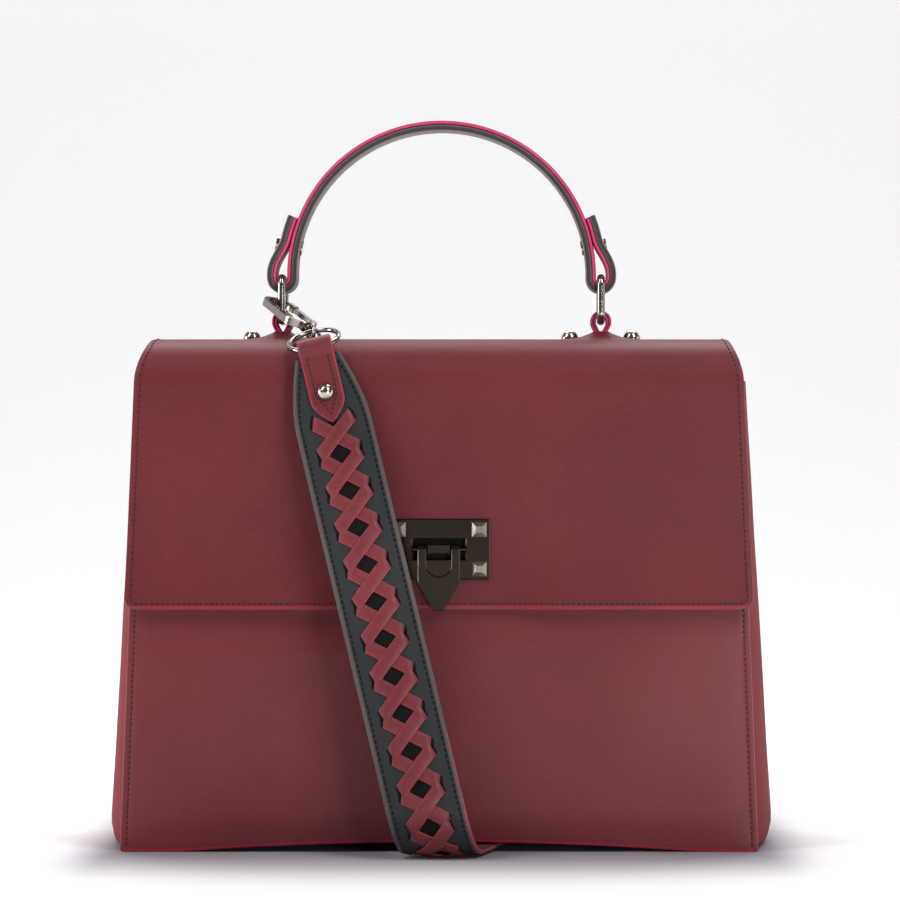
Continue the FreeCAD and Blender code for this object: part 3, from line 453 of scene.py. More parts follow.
def path_mesh(name, rows):
    """Open paths as loose edges; each row is a list of (place in millimetres, facing)."""
    mesh = bpy.data.meshes.new(name)
    places, edges, facings = [], [], []
    for row in rows:
        first = len(places)
        places += [Vector(place) * MM for place, _ in row]
        facings += [Vector(facing) for _, facing in row]
        edges += [(first + k, first + k + 1) for k in range(len(row) - 1)]
    mesh.from_pydata(places, edges, [])
    attribute = mesh.attributes.new("facing", "FLOAT_VECTOR", "POINT")
    for item, facing in zip(attribute.data, facings):
        item.vector = facing
    return mesh


def stitch(name, rows, body=None, thread=THREAD, sizes=(STITCH_PITCH, STITCH_LONG, STITCH_WIDE)):
    """Stitches along rows on one body, with their pitch, length and width."""
    pitch, long, wide = (size * MM for size in sizes)
    values = {"Pitch": pitch, "Length": long, "Width": wide, "Thread": thread}
    piece = grown(name, path_mesh(name + "_path", rows), STITCH_ROW, values)
    if body:
        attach(piece, body)
    return piece


seam_rows = []
for face_y, outward, top, half, belly in ((BODY_FRONT, -1, FRONT_TOP, panel_half, front_belly),
                                          (BODY_BACK, 1, BACK_TOP, back_half, back_belly)):
    for side in (-1, 1):
        seam = []
        for z in steps(SEAM_ENDS, top - SEAM_ENDS, 120):
            x = half(z) - SEAM_INSET
            lift = belly(x / half(z), z) - 0.25
            seam.append(((side * x, face_y + outward * lift, z), (0, outward, 0)))
        seam_rows.append(seam)
stitch("panel_seams", seam_rows, "bag")

# Lining: a loose bag of plain-woven dark fabric, hung inside from the panels' top edges. Under its floor
# lies a stiff grey board that keeps the base in shape.
LINING_HALF = 146.85
LINING_DEEP = 55.3
LINING_FLOOR = 10.0
LINING_TOP = 234.0
LINING_CORNER = 9.0


def woven(name, warp, weft):
    """Plain weave on Object coordinates: crossing threads in two tones, with their relief."""
    material, nodes, links, shader = new_finish(name)
    place, over = nodes.new("ShaderNodeTexCoord"), nodes.new("ShaderNodeMath")
    bump = nodes.new("ShaderNodeBump")
    over.operation = "MULTIPLY"
    for k, direction in enumerate(("X", "Z")):
        wave = nodes.new("ShaderNodeTexWave")
        wave.bands_direction = direction
        preset(wave, {"Scale": 520.0, "Distortion": 0.6})
        join(links, (place, "Object", wave, "Vector"), (wave, "Fac", over, k))
    tone = two_tones(nodes, warp, weft)
    preset(bump, {"Strength": 0.3, "Distance": 0.0003})
    preset(shader, {"Roughness": 0.85, "Sheen Weight": 0.2})
    join(links, (over, "Value", tone, "Factor"), (tone, "Result", shader, "Base Color"),
         (over, "Value", bump, "Height"), (bump, "Normal", shader, "Normal"))
    return material


LINING_CLOTH = woven("lining_cloth", linear(58, 44, 46), linear(88, 70, 72))


def lining_ring(count):
    """Points round the lining's rounded plan, with a count along each straight side."""
    across, deep = LINING_HALF - LINING_CORNER, LINING_DEEP - LINING_CORNER
    corners = ((across, deep, 0), (-across, deep, 90), (-across, -deep, 180), (across, -deep, 270))

    def round_corner(x, y, angle):
        turn = math.radians(angle)
        return x + LINING_CORNER * math.cos(turn), y + LINING_CORNER * math.sin(turn)

    ring = []
    for k, (x, y, start) in enumerate(corners):
        ring += [round_corner(x, y, angle) for angle in steps(start, start + 90, 6)]
        last = ring[-1]
        goal = round_corner(*corners[(k + 1) % 4][:2], start + 90)
        for t in steps(0.0, 1.0, count)[1:-1]:
            ring.append((last[0] + (goal[0] - last[0]) * t, last[1] + (goal[1] - last[1]) * t))
    return ring


def lining_bag():
    """An open bag: walls with slack folds, a hem at the mouth and a floor that dips on the board."""
    form = bmesh.new()
    plan = lining_ring(18)
    hem = [LINING_TOP - drop for drop in (0.0, 0.6, 9.0, 10.0)]
    levels = hem + steps(212.0, 22.0, 20) + [14.0, 11.0, LINING_FLOOR + 0.3]
    loops = []
    for level, z in enumerate(levels):
        loop = []
        tuck = 4.0 * max(0.0, 1.0 - (z - LINING_FLOOR) / 12.0) ** 2
        for x, y in plan:
            slack = 0.0
            if level >= len(hem):
                slack = min(1.1 * noise.noise(Vector((x / 38.0, y / 38.0, z / 70.0))) - 0.9, 0.0)
            drawn = slack - tuck - 0.4
            across, deep = 1.0 + drawn / LINING_HALF, 1.0 + drawn / LINING_DEEP
            loop.append(form.verts.new(Vector((x * across, y * deep, z)) * MM))
        loops.append(loop)
    count = len(plan)
    for upper, lower in zip(loops, loops[1:]):
        for k in range(count):
            form.faces.new((upper[k], upper[(k + 1) % count], lower[(k + 1) % count], lower[k]))
    form.faces.new(loops[-1])
    bmesh.ops.recalc_face_normals(form, faces=form.faces)
    for face in form.faces:
        face.smooth = True
    mesh = shaped("cloth_lining", form)
    mesh.materials.append(LINING_CLOTH)
    piece = placed("cloth_lining", mesh)
    wall = piece.modifiers.new("cloth thickness", "SOLIDIFY")
    wall.thickness = 0.6 * MM
    wall.offset = -1.0
    return piece


lining = lining_bag()
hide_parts("lining")
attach(lining, "bag")


def board_finish():
    """Grey moulded board with a pressed grain."""
    material, nodes, links, shader = new_finish("pressed_board")
    place, speckle = nodes.new("ShaderNodeTexCoord"), nodes.new("ShaderNodeTexNoise")
    tone = two_tones(nodes, linear(48, 46, 46), linear(66, 63, 62))
    preset(speckle, {"Scale": 260.0})
    preset(shader, {"Roughness": 0.7})
    join(links, (place, "Object", speckle, "Vector"), (speckle, "Fac", tone, "Factor"),
         (tone, "Result", shader, "Base Color"))
    return material


def finish_nodes(material, *nodes):
    """Give carried-over solids their finish."""
    for node in nodes:
        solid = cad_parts[node]
        solid.data.materials.clear()
        solid.data.materials.append(material)


finish_nodes(board_finish(), "base_board")

# Flap: one leather sheet from the hinge line, over the top and a round shoulder and down the front. Its three
# free edges are painted and sewn, and the tabs that come up through it draw it into two low tents.
FLAP_OUT = 63.0
FLAP_TOP = 257.0
FLAP_REAR = 60.0
FLAP_THICK = 2.6
FLAP_ROUND = 24.0
FLAP_EDGE = 121.5
FLAP_HALF = 156.8
FLAP_CORNER = 6.0
SHOULDER_HALF = 152.2
SHOULDER_LOW = 236.0
CROWN_HALF = 145.5
TAB_X = 82.0
TENT_RISE = 5.2
TENT_REACH = 8.2
TENT_HALF_THIN = 3.6
TENT_HALF_WIDE = 7.2
FLAP_STAND = 3.6
STAND_TALL = 44.0
STAND_ASIDE = 30.0
FLAP_SWELL = 0.7
FLAP_HANGS = 125.0


def flap_profile(s):
    """Place (y, z) and outward facing on the outer face at a run of s millimetres from the hinge line."""
    flat = FLAP_REAR + FLAP_OUT - FLAP_ROUND
    bend = FLAP_ROUND * math.pi / 2
    if s <= flat:
        return FLAP_REAR - s, FLAP_TOP, 0.0, 1.0
    if s <= flat + bend:
        turn = (s - flat) / FLAP_ROUND
        out, up = math.sin(turn), math.cos(turn)
        return FLAP_ROUND - FLAP_OUT - FLAP_ROUND * out, FLAP_TOP - FLAP_ROUND + FLAP_ROUND * up, -out, up
    return -FLAP_OUT, FLAP_TOP - FLAP_ROUND - (s - flat - bend), -1.0, 0.0


FLAP_RUN = FLAP_REAR + FLAP_OUT - FLAP_ROUND + FLAP_ROUND * math.pi / 2 + FLAP_TOP - FLAP_ROUND - FLAP_EDGE


def flap_half(z):
    """Half the flap's width at a height: round lower corners, straight sides, rounded shoulders."""
    low = FLAP_EDGE + FLAP_CORNER
    if z < low:
        return FLAP_HALF - FLAP_CORNER + math.sqrt(max(FLAP_CORNER ** 2 - (low - z) ** 2, 0.0))
    if z < SHOULDER_LOW:
        return FLAP_HALF + (SHOULDER_HALF - FLAP_HALF) * (z - low) / (SHOULDER_LOW - low)
    rise = (z - SHOULDER_LOW) / (FLAP_TOP - SHOULDER_LOW)
    return SHOULDER_HALF + (CROWN_HALF - SHOULDER_HALF) * rise ** 1.7


def tent(x, y, z):
    """How far the tabs draw the leather up."""
    if z < FLAP_TOP - 1.0:
        return 0.0
    lift = 0.0
    for tab in (-TAB_X, TAB_X):
        off = math.hypot(max(abs(x - tab) - TENT_HALF_THIN, 0.0), max(abs(y) - TENT_HALF_WIDE, 0.0))
        lift += TENT_RISE * math.exp(-((off / TENT_REACH) ** 1.05))
    return lift


def flap_stand(x, z):
    """How far the flap's foot stands off the front, at both sides of the lock."""
    foot = min(max((FLAP_EDGE - z) / STAND_TALL + 1.0, 0.0), 1.0)
    aside = min(max(abs(x) / STAND_ASIDE - 1.0, 0.0), 1.0)
    return FLAP_STAND * foot ** 2 * aside * aside * (3.0 - 2.0 * aside)


def flap_point(u, s, depth=0.0):
    """A point of the flap: across from -1 to 1, along in millimetres, at a depth below its outer face."""
    y, z, out, up = flap_profile(s)
    x = u * flap_half(z)
    roll = 0.45 * max(0.0, 1.0 - (1.0 - abs(u)) / SIDE_ROLL) ** 2 if depth == 0.0 else 0.0
    down = min(max(s / FLAP_HANGS - 1.0, 0.0), 1.0)
    swell = FLAP_SWELL * max(0.0, math.sin(math.pi * down))
    swell += 0.25 * noise.noise(Vector((x / 70.0, s / 70.0, 5.0)))
    away = swell * (1.0 - u * u) - roll - depth + flap_stand(x, z)
    return Vector((x, y + out * away, z + up * away + tent(x, y, z)))


flap_runs = [0.0, 0.7, 1.6] + steps(4.0, 96.0, 44) + steps(98.0, 138.0, 16) + steps(142.0, FLAP_RUN - 8.0, 34)
corner_turns = [math.radians(angle) for angle in (0, 15, 30, 45, 58, 70, 80, 86, 90)]
flap_runs += [FLAP_RUN - FLAP_CORNER * (1.0 - math.sin(turn)) for turn in corner_turns]
# Painted shade: the wall of the flap's slot for the lock is near-black, for the shade in the lock's window.
SLOT_WALL_SHADED = leather("slot_wall_shaded", linear(28, 16, 18), linear(36, 20, 22), 0.6, 0.7, gloss=0.1)
FLAP_PAINT = 1.4
FLAP_HALF_AT_SLOT = 156.2
# Painted shade: the flap's edge paint is a darker copy of the raspberry edge paint used elsewhere.
FLAP_EDGE_PAINT_SHADED = leather("flap_edge_paint_shaded", linear(122, 37, 48), linear(138, 45, 58), 0.4, 0.52, 500.0,
                          0.08)
# Painted shade: the flap's leather is a darker copy of the body's burgundy, with less sheen.
FLAP_LEATHER_SHADED = leather("flap_leather", linear(94, 32, 38), linear(105, 39, 45), 0.43, 0.51, gloss=0.24)
SLOT_HALF = 13.4 / FLAP_HALF_AT_SLOT
SLOT_LOW, SLOT_HIGH = 142.4, 156.6
slot_runs = [FLAP_RUN - (z - FLAP_EDGE) for z in (SLOT_HIGH, SLOT_LOW)]
flap_runs = sorted([s for s in flap_runs if min(abs(s - run) for run in slot_runs) > 0.8] + slot_runs)
flap_across = [u for u in edged(90, 0.012) if abs(abs(u) - SLOT_HALF) > 0.006] + [-SLOT_HALF, SLOT_HALF]
flap_across += [side * (TAB_X + off) / CROWN_HALF for side in (-1, 1)
                for off in (-9, -6, -4.5, -3.6, -2, 0, 2, 3.6, 4.5, 6, 9)]
flap_across.sort()
slot = (flap_runs.index(slot_runs[0]), flap_runs.index(slot_runs[1]),
        flap_across.index(-SLOT_HALF), flap_across.index(SLOT_HALF))
flap = sheet_mesh("leather_flap", [[flap_point(u, s) for u in flap_across] for s in flap_runs],
                  [[flap_point(u, s, FLAP_THICK) for u in flap_across] for s in flap_runs],
                  (FLAP_LEATHER_SHADED, FLAP_EDGE_PAINT_SHADED, BURGUNDY_BACK, FLAP_EDGE_PAINT_SHADED, SLOT_WALL_SHADED),
                  margin=(0.0, FLAP_PAINT, 0.0), hole=slot)
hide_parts("flap")
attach(flap, "flap")

FLAP_SEAM = 2.9


def flap_seam_side(side):
    """Stitch line down one side of the flap."""
    row = []
    for s in steps(2.0, FLAP_RUN - FLAP_CORNER, 150):
        y, z, out, up = flap_profile(s)
        u = side * (1.0 - FLAP_SEAM / flap_half(z))
        row.append((flap_point(u, s, -0.05), (0.0, out, up)))
    return row


corner_seams = []
for side in (-1, 1):
    arc = []
    for angle in steps(0.0, 90.0, 8):
        turn = math.radians(angle)
        radius = FLAP_CORNER - FLAP_SEAM
        x = FLAP_HALF - FLAP_CORNER + radius * math.cos(turn)
        z = FLAP_EDGE + FLAP_CORNER - radius * math.sin(turn)
        arc.append((Vector((side * x, -FLAP_OUT - 0.1 - flap_stand(x, z), z)), (0.0, -1.0, 0.0)))
    corner_seams.append(arc)
seam_low = FLAP_EDGE + FLAP_SEAM
lower_seam = [(Vector((x, -FLAP_OUT - 0.1 - flap_stand(x, seam_low), seam_low)), (0.0, -1.0, 0.0))
              for x in steps(-FLAP_HALF + FLAP_CORNER, FLAP_HALF - FLAP_CORNER, 120)]
flap_seam = flap_seam_side(-1) + corner_seams[0] + lower_seam
flap_seam += corner_seams[1][::-1] + flap_seam_side(1)[::-1]
stitch("flap_seam", [flap_seam], "flap")

# Flip lock: a dark bronze-toned gunmetal plate with four bright pyramid studs, and a pointed tongue hinged in
# its window over a post on the front panel. All are cast or pressed, plated, polished and faintly rubbed.


def rubbed_metal():
    """Node group of polished plating: faint smears in the polish and a slow drift of tone."""
    group, nodes, links, entry, leave = texture_group(
        "rubbed_metal", {"Smear scale": 90.0, "Drift scale": 30.0}, ("Tone", "Smear"))
    place = nodes.new("ShaderNodeTexCoord")
    drift, smear = nodes.new("ShaderNodeTexNoise"), nodes.new("ShaderNodeTexNoise")
    preset(smear, {"Detail": 5.0, "Distortion": 1.5})
    join(links, (place, "Object", drift, "Vector"), (place, "Object", smear, "Vector"),
         (entry, "Drift scale", drift, "Scale"), (entry, "Smear scale", smear, "Scale"),
         (drift, "Fac", leave, "Tone"), (smear, "Fac", leave, "Smear"))
    return group


RUBBED_METAL = rubbed_metal()


def plated(name, deep, pale, polished, smeared):
    """Plated metal between two tones, its roughness between polished and smeared."""
    material, nodes, links, shader = new_finish(name)
    rub, polish = nodes.new("ShaderNodeGroup"), nodes.new("ShaderNodeMapRange")
    rub.node_tree = RUBBED_METAL
    tone = two_tones(nodes, deep, pale)
    preset(shader, {"Metallic": 1.0})
    preset(polish, {"To Min": polished, "To Max": smeared})
    join(links, (rub, "Tone", tone, "Factor"), (tone, "Result", shader, "Base Color"),
         (rub, "Smear", polish, "Value"), (polish, "Result", shader, "Roughness"))
    return material


LOCK_BRONZE = plated("lock_bronze", linear(58, 51, 45), linear(74, 66, 58), 0.14, 0.3)
STUD_NICKEL = plated("stud_nickel", linear(176, 164, 152), linear(200, 188, 176), 0.1, 0.26)
finish_nodes(LOCK_BRONZE, "lock_plate", "lock_tongue", "tongue_pins", "lock_post")
finish_nodes(STUD_NICKEL, "lock_studs")

# Counter plate: a thin dark metal plate that is clamped under the post on the front panel, with its rim
# pressed down. It shows in the lock plate's window.
COUNTER_HALF_WIDE, COUNTER_HALF_TALL = 12.8, 6.6
COUNTER_MIDDLE = 149.9
COUNTER_RISE = 0.36
COUNTER_DARK = plated("counter_dark", linear(26, 23, 21), linear(36, 32, 29), 0.4, 0.6)
counter_outer, counter_inner = [], []
for v in edged(4, 0.06):
    z = COUNTER_MIDDLE + v * COUNTER_HALF_TALL
    rims = [(u * COUNTER_HALF_WIDE, 0.12 * max(abs(u), abs(v)) ** 12) for u in edged(8, 0.03)]
    counter_outer.append([(x, BODY_FRONT - COUNTER_RISE + rim, z) for x, rim in rims])
    counter_inner.append([(x, BODY_FRONT + 0.1, z) for x, rim in rims])
counter = sheet_mesh("lock_counter_plate", counter_outer, counter_inner, (COUNTER_DARK,) * 4, 0.05)
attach(counter, "bag")

# Handle tabs: two nested loops of leather that come up through the flap, go round the wire ring's lower bar
# and are riveted inside, between two ball studs. Their cut edges, painted raspberry, face the front.
EDGE_BRIGHT = leather("edge_paint_bright", linear(194, 46, 94), linear(213, 62, 110), 0.34, 0.46, 500.0,
                      0.08)
RING_NICKEL = plated("ring_nickel", linear(140, 132, 126), linear(168, 160, 152), 0.1, 0.24)
RING_LOW = 267.4
TAB_HALF_WIDE = 7.0
TAB_LOOP = 5.4
TAB_WAIST = 2.95
TAB_LAYER = 1.42
TAB_STRAIGHT = 0.25


def ribbon(name, line, half_wide, thick, materials):
    """A leather strip along a line of (place, facing), its outer face on the line and its edges rounded."""
    outer, inner = [], []
    across = [-1.0, -0.97, -0.9] + steps(-0.75, 0.75, 9) + [0.9, 0.97, 1.0]
    for place, facing in line:
        row = []
        for u in across:
            roll = 0.18 * thick * max(0.0, (abs(u) - 0.88) / 0.12) ** 2
            row.append((Vector(place) + Vector((0.0, u * half_wide, 0.0)), roll))
        outer.append([spot - Vector(facing) * roll for spot, roll in row])
        inner.append([spot - Vector(facing) * (thick - roll) for spot, roll in row])
    return sheet_mesh(name, outer, inner, materials, 0.2)


def tab_line(loop, waist, foot):
    """The omega of a tab about the ring's lower bar: up one side, over the bar and down the other."""
    line = []
    cheek = RING_LOW - 0.8
    for z in steps(foot, cheek, 16):
        turn = math.pi * max(0.0, (z - foot) / (cheek - foot) - TAB_STRAIGHT) / (1.0 - TAB_STRAIGHT)
        spread = 0.5 - 0.5 * math.cos(turn)
        slope = 0.5 * math.pi / (1.0 - TAB_STRAIGHT) * math.sin(turn) / (cheek - foot)
        facing = Vector((-1.0, -(loop - waist) * slope)).normalized()
        line.append(((-(waist + (loop - waist) * spread), z), tuple(facing)))
    for angle in steps(180.0, 90.0, 10):
        out, up = math.cos(math.radians(angle)), math.sin(math.radians(angle))
        line.append(((loop * out, RING_LOW + loop * up), (out, up)))
    right = [((-x, z), (-out, up)) for (x, z), (out, up) in reversed(line[:-1])]
    return line + right


TAB_LEATHER = (BURGUNDY, EDGE_BRIGHT, BURGUNDY_BACK, EDGE_BRIGHT)
TAB_FOOT = FLAP_TOP + TENT_RISE - FLAP_THICK + 0.5
for side, name in ((-1, "left"), (1, "right")):
    for layer in (0, 1):
        inset = layer * (TAB_LAYER + 0.04)
        omega = tab_line(TAB_LOOP - inset, TAB_WAIST - inset, FLAP_TOP + 0.3)
        line = [((side * TAB_X + x, 0.0, z), (out, 0.0, up)) for (x, z), (out, up) in omega if z > TAB_FOOT]
        tab_name = f"{name}_tab_{'inner' if layer else 'outer'}"
        tab = ribbon(tab_name, line, TAB_HALF_WIDE, TAB_LAYER, TAB_LEATHER)
        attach(tab, "flap")
        if not layer:
            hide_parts(f"{name}_handle_tab")
finish_nodes(STUD_NICKEL, "ball_studs")
finish_nodes(RING_NICKEL, "left_ring", "right_ring")

# Handle: an outer burgundy layer and a thicker grey lining layer, bent to an arch. Each end goes round its
# ring's upper bar, folds back up outside the arch with the lining outermost, and is riveted through.
RING_HIGH = 289.5
WRAP = 2.6
ARCH = TAB_X - WRAP
SPRING = RING_HIGH + 1.6
HANDLE_OUTER = 2.0
HANDLE_LINING = 3.2
HANDLE_HALF_WIDE = 9.0
WRAP_ANGLE = 352.0
CLAMP_ANGLE = 13.5
LEAF_ANGLE = 21.4
LEAF_GAP = 0.15
GREY_LINING = leather("grey_lining", linear(112, 101, 99), linear(136, 124, 122), 0.5, 0.62)
GREY_EDGE = leather("grey_edge", linear(54, 49, 48), linear(69, 63, 62), 0.5, 0.65, 500.0, 0.1)
# Painted shade: the lining's cut edge is darker along its half next to the underside, where it turns under.
GREY_RIM_SHADED = leather("grey_rim_shaded", linear(40, 35, 34), linear(52, 46, 45), 0.5, 0.65, 500.0, 0.1)


def handle_half():
    """The handle's outer line from the crown to the folded end on the right, with its facings."""
    def outward(turn):
        return Vector((math.cos(turn), 0.0, math.sin(turn)))

    hub, bar = Vector((0.0, 0.0, SPRING)), Vector((TAB_X, 0.0, RING_HIGH))
    quarter, fold = math.pi / 2, math.radians(WRAP_ANGLE)
    line = [(hub + outward(turn) * ARCH, outward(turn)) for turn in steps(quarter, 0.0, 60)]
    line.append((Vector((ARCH, 0.0, RING_HIGH + 0.6)), outward(0.0)))
    line += [(bar + outward(turn) * WRAP, -outward(turn)) for turn in steps(math.pi, fold, 26)]
    clamp, end = math.radians(CLAMP_ANGLE), math.radians(LEAF_ANGLE)
    leaf = ARCH + LEAF_GAP
    start, goal = line[-1][0], hub + outward(clamp) * leaf
    pull = (goal - start).length / 2.6
    one = start + outward(fold + quarter) * pull
    two = goal - outward(clamp + quarter) * pull
    for t in steps(0.0, 1.0, 18)[1:]:
        left = 1.0 - t
        place = start * left ** 3 + one * (3 * t * left ** 2) + two * (3 * t * t * left) + goal * t ** 3
        along = (one - start) * left ** 2 + (two - one) * (2 * t * left) + (goal - two) * t * t
        along.normalize()
        line.append((place, Vector((-along.z, 0.0, along.x))))
    line += [(hub + outward(turn) * leaf, -outward(turn)) for turn in steps(clamp, end, 10)[1:]]
    return line


right_half = handle_half()
left_half = [(Vector((-place.x, 0.0, place.z)), Vector((-facing.x, 0.0, facing.z)))
             for place, facing in right_half[1:]]
handle_line = left_half[::-1] + right_half
handle_top = ribbon("handle_leather", handle_line, HANDLE_HALF_WIDE, HANDLE_OUTER, TAB_LEATHER)
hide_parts("handle_outer")
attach(handle_top, "handle")
deeper = [(place - facing * (HANDLE_OUTER + 0.02), facing) for place, facing in handle_line]
handle_under = ribbon("handle_grey_lining", deeper, HANDLE_HALF_WIDE, HANDLE_LINING,
                      (GREY_LINING, GREY_EDGE, GREY_LINING, GREY_RIM_SHADED))
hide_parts("handle_lining")
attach(handle_under, "handle")
finish_nodes(STUD_NICKEL, "handle_rivets")

# Shoulder strap: black leather on a burgundy backing, sewn along both edges. It hangs from its end tab in
# front of the bag, leans out to a bend on the floor, goes back under the bag and lies folded behind it.
STRAP_HALF = 19.0
STRAP_END_HALF = 11.0
STRAP_THICK = 2.4
STRAP_SLOPE = 0.2438
STRAP_TOP = 247.5
STRAP_FACE_Y = -67.0
STRAP_LEAN = math.radians(9.0)
STRAP_TAPER = 38.0
STRAP_BEND = 22.0
STRAP_REST = 2.4
BLACK_LEATHER = leather("black_leather", linear(32, 34, 36), linear(42, 44, 46), 0.5, 0.62)
STRAP_EDGE = leather("strap_raw_edge", linear(70, 63, 61), linear(88, 79, 76), 0.6, 0.75, 500.0, 0.12)
BLACK_THREAD = leather("black_thread", linear(8, 8, 9), linear(16, 16, 17), 0.4, 0.55, 2000.0, 0.2, 0.2)
SLANT = math.atan(STRAP_SLOPE)
LEANING = Matrix.Rotation(-STRAP_LEAN, 3, "X")
STRAP_UP = LEANING @ Vector((-math.sin(SLANT), 0.0, math.cos(SLANT)))
STRAP_ACROSS = LEANING @ Vector((math.cos(SLANT), 0.0, math.sin(SLANT)))
STRAP_BACK = LEANING @ Vector((0.0, 1.0, 0.0))
STRAP_END = Vector((-STRAP_SLOPE * STRAP_TOP, STRAP_FACE_Y, STRAP_TOP)) - STRAP_BACK * (STRAP_THICK / 2)
BEND_TOP = STRAP_REST + STRAP_BEND * (1.0 + math.sin(STRAP_LEAN))
RUN = (STRAP_TOP - BEND_TOP) / math.cos(STRAP_LEAN)
BEND_ARC = STRAP_BEND * (math.pi / 2 + STRAP_LEAN)
TAIL_ALONG = Vector((math.sin(SLANT), math.cos(SLANT), 0.0))
TAIL_ACROSS = Vector((math.cos(SLANT), -math.sin(SLANT), 0.0))
TAIL_START = 72.0
TAIL_RUN = 123.0
TAIL_END_RUN = 34.37
TAIL_FOLD = 3.5
PAST_BEND = 600.0


def strap_place(down, off):
    """Place and black-side facing at a length down the strap and an offset across it."""
    side = STRAP_END.x + down * math.sin(SLANT) + off * math.cos(SLANT)
    fall = down * math.cos(SLANT) - off * math.sin(SLANT)
    hang = LEANING @ Vector((0.0, 0.0, -1.0))
    if fall <= RUN:
        place, facing = STRAP_END + hang * fall, -STRAP_BACK
    else:
        turn = min((fall - RUN) / STRAP_BEND, math.pi / 2 + STRAP_LEAN)
        facing = Vector((0.0, -math.cos(turn - STRAP_LEAN), -math.sin(turn - STRAP_LEAN)))
        place = STRAP_END + hang * RUN + STRAP_BACK * STRAP_BEND + facing * STRAP_BEND
        place.y += max(fall - RUN - BEND_ARC, 0.0)
    return Vector((side, place.y, place.z)), facing


def strap_sections():
    """Sections along the strap: rows of (place, facing) across it, from the near end to the far one."""
    sections = []
    level = strap_place(PAST_BEND, 0.0)[0]
    under = (TAIL_START - level.y) / math.cos(SLANT) + PAST_BEND
    for down in steps(0.0, under, 160):
        half = STRAP_HALF
        if down < STRAP_TAPER:
            half = STRAP_END_HALF + (STRAP_HALF - STRAP_END_HALF) * math.sin(down / STRAP_TAPER * math.pi / 2)
        sections.append([strap_place(down, u * half) for u in strap_across])
    spot, heading, side = strap_place(under, 0.0)[0], 1, -1

    def add(middle, half, facing):
        sections.append([(middle + TAIL_ACROSS * (u * half), facing) for u in strap_across])

    for layer in range(3):
        start = spot
        spot = start + TAIL_ALONG * (heading * TAIL_RUN)
        for t in steps(0.0, 1.0, 30)[1:]:
            add(start.lerp(spot, t), STRAP_HALF, Vector((0.0, 0.0, side)))
        for turn in steps(0.0, math.pi, 14)[1:]:
            swing = TAIL_ALONG * (heading * math.sin(turn)) - Vector((0.0, 0.0, math.cos(turn)))
            add(spot + Vector((0.0, 0.0, TAIL_FOLD)) + swing * TAIL_FOLD, STRAP_HALF, swing * (-side))
        spot = spot + Vector((0.0, 0.0, 2 * TAIL_FOLD))
        heading, side = -heading, -side
    start = spot
    spot = start + TAIL_ALONG * (heading * TAIL_END_RUN)
    for t in steps(0.0, 1.0, 16)[1:]:
        add(start.lerp(spot, t), STRAP_HALF + (STRAP_END_HALF - STRAP_HALF) * t, Vector((0.0, 0.0, side)))
    return sections, spot


strap_across = [-1.0, -0.985, -0.955, -0.905] + steps(-0.82, 0.82, 15) + [0.905, 0.955, 0.985, 1.0]
strap_line, tail_end = strap_sections()


def strap_face(lift):
    """Grid of the strap's points at a lift from its middle, with the edges rolled off."""
    grid = []
    for section in strap_line:
        row = []
        for u, (place, facing) in zip(strap_across, section):
            roll = 0.35 * max(0.0, (abs(u) - 0.93) / 0.07) ** 2
            row.append(place + facing * (lift - math.copysign(roll, lift)))
        grid.append(row)
    return grid


STRAP_PAINT = leather("strap_edge_paint", linear(158, 48, 66), linear(176, 58, 76), 0.4, 0.5, 500.0, 0.08)
STRAP_MARGIN = 1.45
STRAP_CURL, STRAP_CURLED, STRAP_UNDER = 74, 88, 112
strap = sheet_mesh("shoulder_strap", strap_face(STRAP_THICK / 2), strap_face(-STRAP_THICK / 2),
                   (BLACK_LEATHER, STRAP_EDGE, BURGUNDY_BACK, STRAP_PAINT), margin=(0.0, 0.0, STRAP_MARGIN))
for row in range(STRAP_CURL, STRAP_UNDER):
    for inward in range(1 if row < STRAP_CURLED else 2):
        cell = row * (len(strap_across) - 1) + len(strap_across) - 2 - inward
        strap.data.polygons[2 * cell].material_index = 3
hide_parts("strap_front", "strap_tail")
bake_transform(strap)

STRAP_SEAM = 2.9
STRAP_STITCH = (2.95, 2.2, 1.2)
strap_seams = []
for side in (-1, 1):
    row = []
    for section in strap_line[2:-3]:
        (left, _), (right, facing) = section[0], section[-1]
        inward = STRAP_SEAM / (right - left).length
        share = inward if side < 0 else 1.0 - inward
        row.append((left.lerp(right, share) + facing * (STRAP_THICK / 2 + 0.05), facing))
    strap_seams.append(row)
strap_seam = stitch("strap_seams", strap_seams, None, BLACK_THREAD, STRAP_STITCH)
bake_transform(strap_seam)

# Lacing: flat burgundy lace with painted edges, threaded in crosses through slots in the strap's face, over a
# near-black strip that is painted shade in the windows between the bands. Each rising band passes over the
# falling one, and its ends dive into the slots.
LACE_HALF_WIDE = 3.4
LACE_THICK = 0.9
LACE_PITCH = 18.95
LACE_START = 31.9
LACE_COUNT = 13
LACE_PRESSED = 0.15
LACE_REACH = 14.0
LACE_SKEW = 0.4
LACE_TURN = 40.5
LACE_DIVE = 0.74
LACE_SECTION = ((-1.0, 0.5), (-0.96, 0.12), (-0.9, 0.0), (0.0, -0.06), (0.9, 0.0), (0.96, 0.12), (1.0, 0.5),
                (0.96, 0.95), (0.0, 1.0), (-0.96, 0.95))
LACE_PAINTED = (0, 1, 5, 6, 9)
SLOT_HALF_LONG = 3.6
SLOT_HALF_THIN = 1.1
SLOT_INSET = 0.4
SLOT_LIFT = 0.1
LACE_LEATHER = leather("lace_leather", linear(104, 39, 44), linear(122, 50, 56), 0.38, 0.48)
LACE_EDGE = leather("lace_edge", linear(162, 44, 60), linear(182, 54, 72), 0.36, 0.46, 500.0, 0.08)


